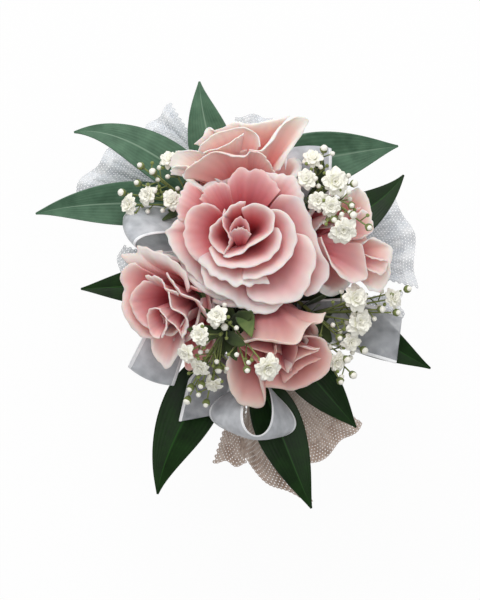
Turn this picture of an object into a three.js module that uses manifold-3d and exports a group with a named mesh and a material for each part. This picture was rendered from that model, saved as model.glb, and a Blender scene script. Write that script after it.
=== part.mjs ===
// Wrist corsage: five spray roses, ruscus, gypsophila, ribbon and tulle on an elastic wristlet.
// Millimetres. +Z points away from the wrist to the flowers, +Y runs along the forearm.
// The origin is the middle of the face of the band that lies on the wrist.
import * as THREE from "three";
import { mergeVertices } from "three/addons/utils/BufferGeometryUtils.js";
import Module from "manifold-3d";

const wasm = await Module();
wasm.setup();
const radians = THREE.MathUtils.degToRad;
const UP = new THREE.Vector3(0, 0, 1);

// Gap left between pieces that lie against each other
const FIT_GAP = 0.3;

// Elastic wristlet: a loop in the XZ plane round the wrist
const LOOP_WIDTH = 58;
const LOOP_HEIGHT = 42;
const LOOP_CORNER = 18;
const BAND_WIDTH = 25;
const BAND_THICKNESS = 1.5;

// Clasp: a plate on the band with prongs folded over the bundle
const PLATE_LENGTH = 24;
const PLATE_WIDTH = 13;
const CLASP_GAUGE = 0.8;
const PRONG_WIDTH = 5;
const PRONG_SPACING = 14;
const PRONG_OPENING = 50;
const PRONG_CLEARANCE = 0.5;

// Bundle of taped stems along the forearm
const BUNDLE_LENGTH = 54;
const BUNDLE_RADIUS = 5.4;
const BUNDLE_END_RADIUS = 3.6;
const TAPE_RIDGE = 0.25;
const PLATE_FLOOR = BAND_THICKNESS + FIT_GAP;
const BUNDLE_HEIGHT = PLATE_FLOOR + CLASP_GAUGE + PRONG_CLEARANCE + BUNDLE_RADIUS + TAPE_RIDGE;

// Stuff thicknesses
const PETAL_THICKNESS = 0.7;
const LEAF_THICKNESS = 0.6;
const RIBBON_THICKNESS = 0.5;
const TULLE_THICKNESS = 0.6;

// Wired stems
const ROSE_STEM_RADIUS = 1.5;
const LEAF_STEM_RADIUS = 0.9;
const RIBBON_STEM_RADIUS = 0.9;
const SPRIG_STEM_RADIUS = 0.6;
const BRANCH_RADIUS = 0.35;
const BRANCH_SPREAD = 0.1;

// Ruscus blades
const LEAF_LONG = 51;
const LEAF_MIDDLE = 46;
const LEAF_SHORT = 37;
const LEAF_BROAD = 18;
const LEAF_EVEN = 15.5;
const LEAF_NARROW = 14;
const LEAF_FOLD = 0.18;

// How far up a leaf can bend at its binding, in degrees: the top one freely, those under the ribbon a little
const FREE_LIFT = 10;
const HELD_LIFT = 4;
const LIFT_STEP = 1.4;

// Ribbon: its width, how far apart the two strands of a loop stand, and how much its edges lag at the bend
const RIBBON_WIDTH = 16;
const LOOP_FLAT = 6;
const LOOP_CLOSE = 9;
const LOOP_WIDE = 19;
const LOOP_BOW = 0.05;

// Tulle: half width of the gathered foot, how low it leaves the bundle and how it falls,
// height and length of a ruffle, and how far a puff reaches
const GATHER_HALF = 1.6;
const GATHER_DROP = 35;
const TULLE_FALL = 12;
const TULLE_RUFFLE = 2.2;
const TULLE_WAVE = 9;
const TULLE_LONG = 51;
const TULLE_MIDDLE = 46;
const TULLE_SHORT = 39;
const TULLE_SCRAP = 27;

// Small flowers and sepals
const FULL_FLOWER_RADIUS = 4;
const FLOWER_RADIUS = 2.8;
const BUD_RADIUS = 1.3;
const CALYX_DEPTH = 6;
const SEPAL_LENGTH = 8;
const SEPAL_WIDTH = 4.5;

// Roses: foot of the bloom, way it faces, size, petals, how far neighbours press it in,
// and the place along the bundle where the stem is bound in
const ROSES = [
  {
    name: "centre", foot: [-1, 9, 24], axis: [-0.06, 0.1, 1],
    radius: 24, height: 27.5, petals: 11, turn: 20, crowd: 0, bound: 7,
  },
  {
    name: "top", foot: [-2, 21, 23], axis: [-0.04, 0.87, 0.49],
    radius: 20, height: 26, petals: 6, turn: 75, crowd: 0.65, bound: 14,
  },
  {
    name: "left", foot: [-14, -5, 21], axis: [-0.64, -0.3, 0.7],
    radius: 18, height: 27, petals: 7, turn: 10, crowd: 0.5, bound: -1,
  },
  {
    name: "bottom", foot: [6, -10, 24], axis: [0.12, -0.84, 0.53],
    radius: 17, height: 28, petals: 6, turn: 40, crowd: 0.5, bound: -2.5,
  },
  {
    name: "right", foot: [15, 8, 22], axis: [0.82, 0.05, 0.57],
    radius: 17, height: 26, petals: 6, turn: 0, crowd: 0.5, bound: 2.4,
  },
];

// Leaves: foot of the blade, compass heading, rise at foot and at tip, turn of the tip to one side, roll,
// lift, and the place along the bundle where the stem is bound in; then lengths and widths in the same order
const LEAVES = [
  { foot: [-12, 24.5, 12], heading: 144, rise: [12, -8], curve: 45, roll: 14, lift: FREE_LIFT, bound: 21 },
  { foot: [-19, 22.5, 9], heading: 180, rise: [10, -10], curve: 16, roll: -12, lift: HELD_LIFT, bound: 15 },
  { foot: [-8.4, 26, 7.8], heading: 106, rise: [6, -6], curve: -14, roll: 0, lift: HELD_LIFT, bound: 25 },
  { foot: [3, 33, 8.2], heading: 11, rise: [8, -8], curve: -4, roll: 10, lift: HELD_LIFT, bound: 28 },
  { foot: [12, 6.5, 10], heading: 26, rise: [6, -6], curve: 30, roll: -6, lift: HELD_LIFT, bound: 2.6 },
  { foot: [-9, -3, 9], heading: 183, rise: [8, -6], curve: 0, roll: 0, lift: HELD_LIFT, bound: -2.5 },
  { foot: [-9, -26, 9.5], heading: 240, rise: [8, -8], curve: 22, roll: 10, lift: HELD_LIFT, bound: -21 },
  { foot: [3, -34, 9.5], heading: 291, rise: [8, -8], curve: 3, roll: -10, lift: HELD_LIFT, bound: -28 },
  { foot: [10.3, -22.5, 9.5], heading: 311, rise: [8, -10], curve: 0, roll: 0, lift: HELD_LIFT, bound: -17 },
  { foot: [15, -5, 10], heading: 328, rise: [8, -8], curve: 4, roll: 6, lift: HELD_LIFT, bound: -2.6 },
];
const LEAF_LENGTHS = [
  LEAF_LONG, LEAF_LONG, LEAF_SHORT, LEAF_MIDDLE, LEAF_MIDDLE,
  LEAF_MIDDLE, LEAF_LONG, LEAF_MIDDLE, LEAF_SHORT, LEAF_LONG,
];
const LEAF_WIDTHS = [
  LEAF_NARROW, LEAF_NARROW, LEAF_NARROW, LEAF_BROAD, LEAF_EVEN,
  LEAF_NARROW, LEAF_BROAD, LEAF_EVEN, LEAF_NARROW, LEAF_EVEN,
];

// Ribbon loops: foot, heading, rise, length, tilt of the width from level, gap between the strands,
// flare of the lower side
const RIBBON_LOOPS = [
  {
    name: "left", foot: [-12.3, 12.5, 12], heading: 178, rise: 30,
    length: 28, tilt: 78, gap: LOOP_CLOSE, flare: 0.15, bound: 12,
  },
  {
    name: "right", foot: [19, 17, 14.5], heading: 92, rise: 10,
    length: 24, tilt: 5, gap: LOOP_CLOSE, flare: 0, bound: 16,
  },
  {
    name: "lower_left", foot: [-22, -9, 14.5], heading: 248, rise: 4,
    length: 28, tilt: -4, gap: LOOP_FLAT, flare: 0, bound: -9,
  },
  {
    name: "bottom", foot: [3, -33, 14.5], heading: 264, rise: 30,
    length: 24, tilt: 84, gap: LOOP_WIDE, flare: 0.5, bound: -21,
  },
];

// Ribbon tails: foot, heading, rise, length, sideways curve, tilt, slant of the cut end
const RIBBON_TAILS = [
  {
    name: "left", foot: [-9.5, -26, 13.5], heading: 251, rise: 8,
    length: 23, curve: 2, tilt: 6, slant: 0.14, bound: -19,
  },
  {
    name: "right", foot: [12, -11.6, 16], heading: 345, rise: 4,
    length: 39, curve: -2, tilt: -8, slant: 0.03, bound: -6,
  },
];

// Tulle puffs: heading, spread to each side, length, how much longer one side is cut, place along the bundle
const TULLE_PUFFS = [
  { heading: 161, spread: 12, length: TULLE_LONG, slant: 0.08, bound: 18 },
  { heading: 136, spread: 11, length: TULLE_SHORT, slant: 0, bound: 24 },
  { heading: 88, spread: 14, length: TULLE_SCRAP, slant: 0, bound: 25 },
  { heading: 12, spread: 18, length: TULLE_LONG, slant: 0, bound: 0 },
  { heading: 307, spread: 11, length: TULLE_MIDDLE, slant: -0.05, bound: -20 },
  { heading: 281, spread: 12, length: TULLE_MIDDLE, slant: 0.18, bound: -25 },
  { heading: 262, spread: 8, length: TULLE_SHORT, slant: 0, bound: -23 },
  { heading: 2, spread: 7, length: TULLE_MIDDLE, slant: 0, bound: -13 },
  { heading: 178, spread: 12, length: TULLE_SHORT, slant: 0, bound: 0 },
];

// Gypsophila sprigs: place along the bundle, fork of the branches, full flowers, small flowers, buds
const SPRIGS = [
  {
    bound: 12, fork: [-19, 22, 23], full: [],
    flowers: [[-39, 21.6, 24], [-33, 24.5, 27], [-26, 36, 25], [-25, 23, 30]],
    buds: [[-35, 34, 27], [-41, 25.5, 23], [-36, 28.5, 26], [-31, 32, 26]],
  },
  {
    bound: 11, fork: [23, 27, 35], full: [[27, 28.5, 42], [29.5, 13, 47]],
    flowers: [[20, 36, 38], [18, 29.5, 42], [25.5, 20.5, 45], [21.5, 22.5, 44]],
    buds: [[37.5, 14, 48], [32.5, 18, 47], [32, 21, 45], [33, 28, 39], [26.5, 16.5, 47], [23.5, 39, 37]],
  },
  {
    bound: -0.5, fork: [21, -14, 26], full: [[33.5, -8.5, 35], [35, -16, 32]],
    flowers: [[32.5, -22.5, 29], [46, -8.5, 28]],
    buds: [[50.5, -5.5, 28], [42, -12, 28], [47, -13, 27], [36.5, -25, 26], [28.5, -21, 30]],
  },
  {
    bound: -14, fork: [-9.5, -20, 41], full: [],
    flowers: [[-16, -20, 46], [-20.5, -26, 41], [-12, -36, 32], [-16, -30.5, 38]],
    buds: [[-19, -37, 31], [-20, -41, 30], [-14, -42, 29], [-10, -31, 34], [-15.5, -36, 34]],
  },
  {
    bound: -11.5, fork: [-6.5, -16.5, 40], full: [[5.5, -30.5, 49]],
    flowers: [[-10.5, -14, 46]],
    buds: [[-1, -31, 46], [-8, -17.5, 42]],
  },
  {
    bound: -16.5, fork: [20.5, -19.5, 21], full: [],
    flowers: [[28, -29, 26]],
    buds: [[31, -28, 27], [29, -35, 25], [33, -33, 25]],
  },
];

const finish = (color, roughness, metalness = 0) => ({ color, roughness, metalness });
const FINISHES = {
  elastic: finish(0xf1efeb, 0.9),
  clasp: finish(0xc9cbce, 0.35, 1),
  tape: finish(0x4c6b3c, 0.7),
  petal: finish(0xe3a3a3, 0.6),
  green: finish(0x5f7d45, 0.6),
  leaf: finish(0x3f5f3f, 0.4),
  ribbon: finish(0xd4d6d8, 0.35),
  tulle: finish(0xe4e2e0, 0.8),
  gypsophila: finish(0xf3f3ec, 0.7),
};

// Solids

function solidOf(geometry) {
  const mesh = new wasm.Mesh({
    numProp: 3,
    vertProperties: new Float32Array(geometry.attributes.position.array),
    triVerts: new Uint32Array(geometry.index.array),
  });
  return new wasm.Manifold(mesh);
}

function solidOfShape(geometry) {
  geometry.deleteAttribute("normal");
  geometry.deleteAttribute("uv");
  return solidOf(mergeVertices(geometry, 1e-4));
}

function geometryOf(solid) {
  const mesh = solid.getMesh();
  const geometry = new THREE.BufferGeometry();
  geometry.setAttribute("position", new THREE.BufferAttribute(mesh.vertProperties, 3));
  geometry.setIndex(new THREE.BufferAttribute(mesh.triVerts, 1));
  return geometry;
}

function join(solids) {
  return solids.reduce((all, solid) => all.add(solid));
}

function indexed(points, faces) {
  const geometry = new THREE.BufferGeometry();
  const numbers = points.flatMap((p) => p.toArray());
  geometry.setAttribute("position", new THREE.Float32BufferAttribute(numbers, 3));
  geometry.setIndex(faces);
  return geometry;
}

// A closed sheet of even thickness over surface(u, v), u from -1 to 1 and v from 0 to 1
function sheet(surface, columns, rows, thickness, grow = 0) {
  const step = 1e-3;
  const front = [];
  const back = [];
  for (let j = 0; j <= rows; j += 1) {
    for (let i = 0; i <= columns; i += 1) {
      const u = (2 * i) / columns - 1;
      const v = j / rows;
      const across = surface(u + step, v).sub(surface(u - step, v)).normalize();
      const along = surface(u, v + step).sub(surface(u, v - step)).normalize();
      const normal = across.clone().cross(along).normalize();
      const point = surface(u, v);
      point.addScaledVector(across, i === 0 ? -grow : i === columns ? grow : 0);
      point.addScaledVector(along, j === 0 ? -grow : j === rows ? grow : 0);
      front.push(point.clone().addScaledVector(normal, thickness / 2 + grow));
      back.push(point.clone().addScaledVector(normal, -thickness / 2 - grow));
    }
  }
  const count = front.length;
  const at = (i, j) => j * (columns + 1) + i;
  const faces = [];
  const quad = (a, b, c, d) => faces.push(a, b, c, a, c, d);
  for (let j = 0; j < rows; j += 1) {
    for (let i = 0; i < columns; i += 1) {
      quad(at(i, j), at(i + 1, j), at(i + 1, j + 1), at(i, j + 1));
      quad(count + at(i, j), count + at(i, j + 1), count + at(i + 1, j + 1), count + at(i + 1, j));
    }
  }
  for (let i = 0; i < columns; i += 1) {
    quad(at(i + 1, 0), at(i, 0), count + at(i, 0), count + at(i + 1, 0));
    quad(at(i, rows), at(i + 1, rows), count + at(i + 1, rows), count + at(i, rows));
  }
  for (let j = 0; j < rows; j += 1) {
    quad(at(0, j), at(0, j + 1), count + at(0, j + 1), count + at(0, j));
    quad(at(columns, j + 1), at(columns, j), count + at(columns, j), count + at(columns, j + 1));
  }
  return solidOf(indexed([...front, ...back], faces));
}

// A closed solid through rings of points, from the first ring to the last
function loft(rings) {
  const sides = rings[0].length;
  const points = rings.flat();
  const faces = [];
  for (let k = 0; k + 1 < rings.length; k += 1) {
    for (let i = 0; i < sides; i += 1) {
      const a = k * sides + i;
      const b = k * sides + ((i + 1) % sides);
      faces.push(a, b, b + sides, a, b + sides, a + sides);
    }
  }
  const middle = (ring) => ring.reduce((sum, p) => sum.add(p), new THREE.Vector3()).divideScalar(sides);
  const last = (rings.length - 1) * sides;
  points.push(middle(rings[0]), middle(rings[rings.length - 1]));
  for (let i = 0; i < sides; i += 1) {
    const next = (i + 1) % sides;
    faces.push(points.length - 2, next, i);
    faces.push(points.length - 1, last + i, last + next);
  }
  return solidOf(indexed(points, faces));
}

// A tapering stem along a smooth curve through the points given
function stem(points, radiusFrom, radiusTo, sides, steps) {
  const curve = points.length > 2 ? new THREE.CatmullRomCurve3(points) : new THREE.LineCurve3(...points);
  const frames = curve.computeFrenetFrames(steps);
  const rings = [];
  for (let k = 0; k <= steps; k += 1) {
    const radius = THREE.MathUtils.lerp(radiusFrom, radiusTo, k / steps);
    const centre = curve.getPointAt(k / steps);
    const ring = [];
    for (let i = 0; i < sides; i += 1) {
      const angle = (2 * Math.PI * i) / sides;
      const point = centre.clone().addScaledVector(frames.normals[k], radius * Math.cos(angle));
      ring.push(point.addScaledVector(frames.binormals[k], radius * Math.sin(angle)));
    }
    rings.push(ring);
  }
  return loft(rings);
}

const vector = (xyz) => new THREE.Vector3(...xyz);

function bundleRadius(y) {
  const s = Math.min(1, Math.abs(y) / (BUNDLE_LENGTH / 2));
  return THREE.MathUtils.lerp(BUNDLE_RADIUS, BUNDLE_END_RADIUS, s ** 5);
}

// The place on the bundle's side or end, FIT_GAP clear of the tape, from which a stem leaves for a point
function anchor(y, point) {
  if (Math.abs(y) > BUNDLE_LENGTH / 2) {
    const x = THREE.MathUtils.clamp(point.x, -BUNDLE_END_RADIUS / 2, BUNDLE_END_RADIUS / 2);
    return new THREE.Vector3(x, Math.sign(y) * (BUNDLE_LENGTH / 2 + FIT_GAP), BUNDLE_HEIGHT);
  }
  const out = new THREE.Vector3(point.x, 0, point.z - BUNDLE_HEIGHT).normalize();
  return new THREE.Vector3(0, y, BUNDLE_HEIGHT).addScaledVector(out, bundleRadius(y) + TAPE_RIDGE + FIT_GAP);
}

// A way over the ground: compass heading and rise, both in degrees
function heading(compass, rise) {
  const a = radians(compass);
  const e = radians(rise);
  return new THREE.Vector3(Math.cos(a) * Math.cos(e), Math.sin(a) * Math.cos(e), Math.sin(e));
}

// Placing: each piece is cut back where an earlier one lies, FIT_GAP clear of it
const corsage = new THREE.Group();
const placed = [];

function boxesMeet(a, b) {
  return [0, 1, 2].every((k) => a.min[k] < b.max[k] && b.min[k] < a.max[k]);
}

function largestBody(solid) {
  return solid.decompose().reduce((best, body) => (body.volume() > best.volume() ? body : best));
}

function place(name, look, make, makeRoom = make) {
  let solid = make(0);
  for (const room of placed) {
    if (boxesMeet(solid.boundingBox(), room.boundingBox())) {
      solid = solid.subtract(room);
    }
  }
  const material = new THREE.MeshStandardMaterial(FINISHES[look]);
  const mesh = new THREE.Mesh(geometryOf(largestBody(solid)), material);
  mesh.name = name;
  corsage.add(mesh);
  placed.push(makeRoom(FIT_GAP));
}

// Wristlet

function bandHalf(side, grow) {
  const inner = LOOP_CORNER - grow;
  const outer = LOOP_CORNER + BAND_THICKNESS + grow;
  const x = LOOP_WIDTH / 2 - LOOP_CORNER;
  const z = LOOP_HEIGHT / 2 - LOOP_CORNER;
  const cut = FIT_GAP / 2;
  const shape = new THREE.Shape();
  shape.moveTo(x + outer, cut);
  shape.lineTo(x + outer, z);
  shape.absarc(x, z, outer, 0, Math.PI / 2, false);
  shape.absarc(-x, z, outer, Math.PI / 2, Math.PI, false);
  shape.lineTo(-x - outer, cut);
  shape.lineTo(-x - inner, cut);
  shape.lineTo(-x - inner, z);
  shape.absarc(-x, z, inner, Math.PI, Math.PI / 2, true);
  shape.absarc(x, z, inner, Math.PI / 2, 0, true);
  shape.lineTo(x + inner, cut);
  const depth = BAND_WIDTH + 2 * grow;
  const geometry = new THREE.ExtrudeGeometry(shape, { depth, bevelEnabled: false, curveSegments: 6 });
  geometry.translate(0, 0, -depth / 2);
  geometry.rotateX(Math.PI / 2);
  geometry.rotateY(side > 0 ? 0 : Math.PI);
  geometry.translate(0, 0, -LOOP_HEIGHT / 2);
  return solidOfShape(geometry);
}

function clasp(grow) {
  const plate = new THREE.BoxGeometry(PLATE_WIDTH, PLATE_LENGTH, CLASP_GAUGE);
  plate.translate(0, 0, PLATE_FLOOR + CLASP_GAUGE / 2);
  const clear = BUNDLE_RADIUS + TAPE_RIDGE + PRONG_CLEARANCE;
  const inner = clear - grow;
  const outer = clear + CLASP_GAUGE + grow;
  const open = radians(PRONG_OPENING / 2);
  const shape = new THREE.Shape();
  shape.absarc(0, 0, outer, Math.PI / 2 + open, Math.PI * 2.5 - open, false);
  shape.absarc(0, 0, inner, Math.PI * 2.5 - open, Math.PI / 2 + open, true);
  const prongs = [-1, 1].map((side) => {
    const depth = PRONG_WIDTH + 2 * grow;
    const prong = new THREE.ExtrudeGeometry(shape, { depth, bevelEnabled: false, curveSegments: 12 });
    prong.translate(0, 0, -depth / 2);
    prong.rotateX(Math.PI / 2);
    prong.translate(0, (side * PRONG_SPACING) / 2, BUNDLE_HEIGHT);
    return solidOfShape(prong);
  });
  return join([solidOfShape(plate), ...prongs]);
}

function bundle(grow) {
  const rings = 8;
  const half = BUNDLE_LENGTH / 2 + grow;
  const profile = [new THREE.Vector2(0, -half)];
  for (let k = 0; k <= rings; k += 1) {
    const s = (2 * k) / rings - 1;
    const ridge = k % 2 === 1 ? TAPE_RIDGE : 0;
    profile.push(new THREE.Vector2(bundleRadius(s * half) + ridge + grow, s * half));
  }
  profile.push(new THREE.Vector2(0, half));
  const geometry = new THREE.LatheGeometry(profile, 12);
  const solid = solidOfShape(geometry);
  return solid.translate([0, 0, BUNDLE_HEIGHT]);
}

// Roses, built facing +Z from the foot of the bloom and then turned to face their own way

const GOLDEN_TURN = radians(137.5);
const INNER_PETAL = 0.3;
const HEART_TURNS = 2;
const HEART_RADIUS = 0.27;
const RIM_DROP = 0.47;

// A petal is not round about the rose: one side stands farther out, and the rims of the outer ones flare
const PETAL_LEAN = 0.05;
const PETAL_FLARE = 0.03;

// The section of a petal, t from 0 at the heart to 1 outside: it swells from the foot, climbs to a crest
// and rolls out to its rim, which lies lower the farther out it is
function petalCurve(rose, t) {
  const { radius, height } = rose;
  return new THREE.CubicBezierCurve(
    new THREE.Vector2(radius * (0.09 + 0.15 * t), height * 0.05),
    new THREE.Vector2(radius * (0.2 + 0.7 * t), height * (0.25 - 0.1 * t)),
    new THREE.Vector2(radius * (0.14 + 0.58 * t), height * (0.98 - 0.34 * t * t)),
    new THREE.Vector2(radius * (0.17 + 0.83 * t), height * (1 - RIM_DROP * t * t)),
  );
}

// How far a neighbour presses the bloom in on the side that faces it
function pressed(rose, angle, v) {
  const facing = Math.max(0, Math.cos(angle - rose.crowdAngle));
  return 1 - rose.crowd * v * facing ** 1.5;
}

function petalSurface(rose, index) {
  const t = THREE.MathUtils.lerp(INNER_PETAL, 1, Math.sqrt(index / (rose.petals - 1)));
  const curve = petalCurve(rose, t);
  const middle = index * GOLDEN_TURN + radians(rose.turn);
  const reach = radians(95 - 42 * t);
  return (u, v) => {
    const rounded = v * (1 - 0.1 * u * u);
    const profile = curve.getPoint(Math.max(0, rounded));
    const width = 0.15 + 0.85 * Math.sin(Math.min(1, Math.max(0, v) / 0.7) * Math.PI * 0.5);
    const angle = middle + u * reach * width;
    const curl = 1 + PETAL_LEAN * u * v + PETAL_FLARE * t * u * u * v * v;
    const r = profile.x * curl * pressed(rose, angle, v);
    return new THREE.Vector3(r * Math.cos(angle), r * Math.sin(angle), profile.y);
  };
}

function heartSurface(rose) {
  return (u, v) => {
    const s = (u + 1) / 2;
    const angle = s * HEART_TURNS * 2 * Math.PI + radians(rose.turn);
    const waist = 0.5 + 0.5 * Math.sin(Math.PI * (0.1 + (0.8 - 0.25 * s) * v));
    const r = rose.radius * (0.03 + HEART_RADIUS * s) * waist;
    const rise = rose.height * (0.1 + (0.88 - 0.06 * s) * v);
    return new THREE.Vector3(r * Math.cos(angle), r * Math.sin(angle), rise);
  };
}

function faceAway(rose) {
  const axis = vector(rose.axis).normalize();
  const spin = new THREE.Quaternion().setFromUnitVectors(UP, axis);
  const inward = vector(ROSES[0].foot).sub(vector(rose.foot)).addScaledVector(UP, 40);
  inward.applyQuaternion(spin.clone().invert());
  const matrix = new THREE.Matrix4().compose(vector(rose.foot), spin, new THREE.Vector3(1, 1, 1));
  return { ...rose, crowdAngle: Math.atan2(inward.y, inward.x), matrix: matrix.toArray() };
}

function bloom(rose) {
  const { radius, height } = rose;
  const cup = new THREE.LatheGeometry([
    new THREE.Vector2(0, 0),
    new THREE.Vector2(radius * 0.2, 0),
    new THREE.Vector2(radius * 0.36, height * 0.1),
    new THREE.Vector2(radius * 0.3, height * 0.17),
    new THREE.Vector2(0, height * 0.2),
  ], 9).rotateX(Math.PI / 2);
  const solids = [solidOfShape(cup), sheet(heartSurface(rose), 14, 2, PETAL_THICKNESS)];
  for (let index = 0; index < rose.petals; index += 1) {
    solids.push(sheet(petalSurface(rose, index), 4, 3, PETAL_THICKNESS));
  }
  return join(solids).transform(rose.matrix);
}

// The room that a bloom takes up, so that its neighbours lie round it and not through it: up the outside
// of the outer petals, then inwards over the rims of the others
function bloomRoom(rose, grow) {
  const sides = 20;
  const skin = PETAL_THICKNESS / 2 + grow;
  const steps = [0, 1, 2, 3, 4, 5, 6].map((k) => k / 6);
  const outside = steps.map((v) => [petalCurve(rose, 1).getPoint(v), v, v > 0.5 ? -skin : 0]);
  const crown = [1, 0.85, 0.7, 0.5, INNER_PETAL].map((t) => [petalCurve(rose, t).getPoint(1), 1, skin]);
  const profile = [[new THREE.Vector2(rose.radius * 0.2, 0), 0, -grow], ...outside, ...crown];
  const rings = profile.map(([p, v, shift]) => {
    const curl = 1 + (PETAL_LEAN + PETAL_FLARE) * Math.min(1, 1.2 * v);
    const reach = (p.x * curl + skin) / Math.cos(Math.PI / sides);
    return Array.from({ length: sides }, (_, i) => {
      const angle = (2 * Math.PI * i) / sides;
      const r = reach * pressed(rose, angle, v);
      return new THREE.Vector3(r * Math.cos(angle), r * Math.sin(angle), p.y + shift);
    });
  });
  const heart = (HEART_RADIUS + 0.03) * rose.radius + skin;
  const core = new THREE.CylinderGeometry(heart, heart, rose.height * 0.9 + grow, 16).rotateX(Math.PI / 2);
  core.translate(0, 0, rose.height * 0.55 + grow / 2);
  return join([loft(rings), solidOfShape(core)]).transform(rose.matrix);
}

function calyx(rose, grow) {
  const cup = new THREE.LatheGeometry([
    new THREE.Vector2(0, -CALYX_DEPTH - grow),
    new THREE.Vector2(ROSE_STEM_RADIUS + 0.6 + grow, -CALYX_DEPTH - grow),
    new THREE.Vector2(rose.radius * 0.16 + grow, -CALYX_DEPTH * 0.4),
    new THREE.Vector2(rose.radius * 0.13 + grow, -FIT_GAP + grow),
    new THREE.Vector2(0, -FIT_GAP + grow),
  ], 8).rotateX(Math.PI / 2);
  const sepals = [0, 1, 2, 3, 4].map((k) => {
    const angle = (2 * Math.PI * k) / 5 + radians(rose.turn);
    const out = new THREE.Vector3(Math.cos(angle), Math.sin(angle), 0);
    const side = new THREE.Vector3(-Math.sin(angle), Math.cos(angle), 0);
    const surface = (u, v) => {
      const half = 0.2 + (SEPAL_WIDTH / 2) * Math.sin(Math.PI * (0.13 + 0.83 * v));
      const point = out.clone().multiplyScalar(rose.radius * 0.11 + SEPAL_LENGTH * v);
      point.addScaledVector(UP, -1.6 - 1.2 * v);
      return point.addScaledVector(side, u * half);
    };
    return sheet(surface, 1, 2, PETAL_THICKNESS, grow);
  });
  return join([solidOfShape(cup), ...sepals]).transform(rose.matrix);
}

function roseStem(rose, grow) {
  const axis = vector(rose.axis).normalize();
  const top = vector(rose.foot).addScaledVector(axis, -CALYX_DEPTH - FIT_GAP);
  const bend = top.clone().addScaledVector(axis, -1.5);
  const points = [top, bend, anchor(rose.bound, bend)];
  return stem(points, ROSE_STEM_RADIUS + grow, ROSE_STEM_RADIUS + grow, 8, 3);
}

// Leaves

function axisPoints(foot, compass, rise, curve, length) {
  const count = 16;
  const points = [vector(foot)];
  for (let k = 0; k < count; k += 1) {
    const s = (k + 0.5) / count;
    const way = heading(compass + curve * s ** 3, THREE.MathUtils.lerp(rise[0], rise[1], s));
    points.push(points[k].clone().addScaledVector(way, length / count));
  }
  return new THREE.CatmullRomCurve3(points);
}

// A strip along an axis curve: half(v) is its half width, roll its turn about the axis, fold its keel
function strip(axis, half, roll, fold) {
  return (u, v) => {
    const s = THREE.MathUtils.clamp(v, 0, 1);
    const along = axis.getTangentAt(s);
    const side = UP.clone().cross(along).normalize().applyAxisAngle(along, radians(roll));
    const normal = along.clone().cross(side);
    const point = axis.getPointAt(s).addScaledVector(along, (v - s) * axis.getLength());
    point.addScaledVector(side, u * half(s));
    return point.addScaledVector(normal, fold * Math.abs(u) * half(s));
  };
}

// A blade is widest at LEAF_BELLY of its length, and blunt by LEAF_TIP to each side at its ends
const LEAF_BELLY = 0.4;
const LEAF_TIP = 0.3;
const PETIOLE_LENGTH = 4;

function petioleBend(axis) {
  return axis.getPointAt(0).addScaledVector(axis.getTangentAt(0), -PETIOLE_LENGTH);
}

function leaf(item, length, width, grow) {
  const axis = axisPoints(item.foot, item.heading, item.rise, item.curve, length);
  const swell = (s) => (s / LEAF_BELLY) ** 0.7 * ((1 - s) / (1 - LEAF_BELLY)) ** 1.2;
  const half = (s) => LEAF_TIP + (width / 2) * swell(s);
  const blade = sheet(strip(axis, half, item.roll, LEAF_FOLD), 2, 7, LEAF_THICKNESS, grow);
  const inside = axis.getPointAt(0.12);
  const bend = petioleBend(axis);
  const points = [inside, axis.getPointAt(0), bend, anchor(item.bound, bend)];
  const petiole = stem(points, 0.5 + grow, LEAF_STEM_RADIUS + grow, 5, 4);
  return join([blade, petiole]);
}

// The room that a leaf needs to bend up at its binding
function leafRoom(item, length, width, grow) {
  const still = leaf(item, length, width, grow);
  const axis = axisPoints(item.foot, item.heading, item.rise, item.curve, length);
  const pivot = anchor(item.bound, petioleBend(axis));
  const axle = heading(item.heading - 90, 0);
  const steps = Math.ceil(item.lift / LIFT_STEP);
  const lifted = Array.from({ length: steps }, (_, k) => {
    const spin = new THREE.Quaternion().setFromAxisAngle(axle, radians((item.lift * (k + 1)) / steps));
    const shift = pivot.clone().sub(pivot.clone().applyQuaternion(spin));
    const matrix = new THREE.Matrix4().compose(shift, spin, new THREE.Vector3(1, 1, 1));
    return still.transform(matrix.toArray());
  });
  return join([still, ...lifted]);
}

// Ribbon

function ribbonFrame(item) {
  const along = heading(item.heading, item.rise);
  const level = UP.clone().cross(along).normalize();
  const width = level.applyAxisAngle(along, radians(item.tilt));
  return { along, width, normal: along.clone().cross(width) };
}

function ribbonLoop(item, grow) {
  const { along, width, normal } = ribbonFrame(item);
  const foot = vector(item.foot);
  const breadth = RIBBON_WIDTH ** 2 / Math.hypot(RIBBON_WIDTH, item.flare * item.gap);
  const surface = (u, v) => {
    const s = 0.06 + 0.88 * v;
    const open = 1 - item.flare * u;
    const gather = 0.3 + 0.7 * Math.max(0, Math.sin(Math.PI * s)) ** 0.7;
    const out = (item.length * (1 - Math.cos(2 * Math.PI * s))) / 2;
    const apart = (item.gap / 1.54) * Math.sin(2 * Math.PI * s) * Math.sin(Math.PI * s);
    const point = foot.clone().addScaledVector(along, out * (0.6 + 0.4 * open) * (1 - LOOP_BOW * u * u));
    point.addScaledVector(normal, apart * open);
    return point.addScaledVector(width, (u * breadth * gather) / 2);
  };
  const loop = sheet(surface, 2, 13, RIBBON_THICKNESS, grow);
  const start = foot.clone().addScaledVector(along, 2.5);
  const bend = foot.clone().addScaledVector(along, -2);
  const points = [start, bend, anchor(item.bound, bend)];
  const wire = stem(points, RIBBON_STEM_RADIUS + grow, RIBBON_STEM_RADIUS + grow, 5, 3);
  return join([loop, wire]);
}

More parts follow.
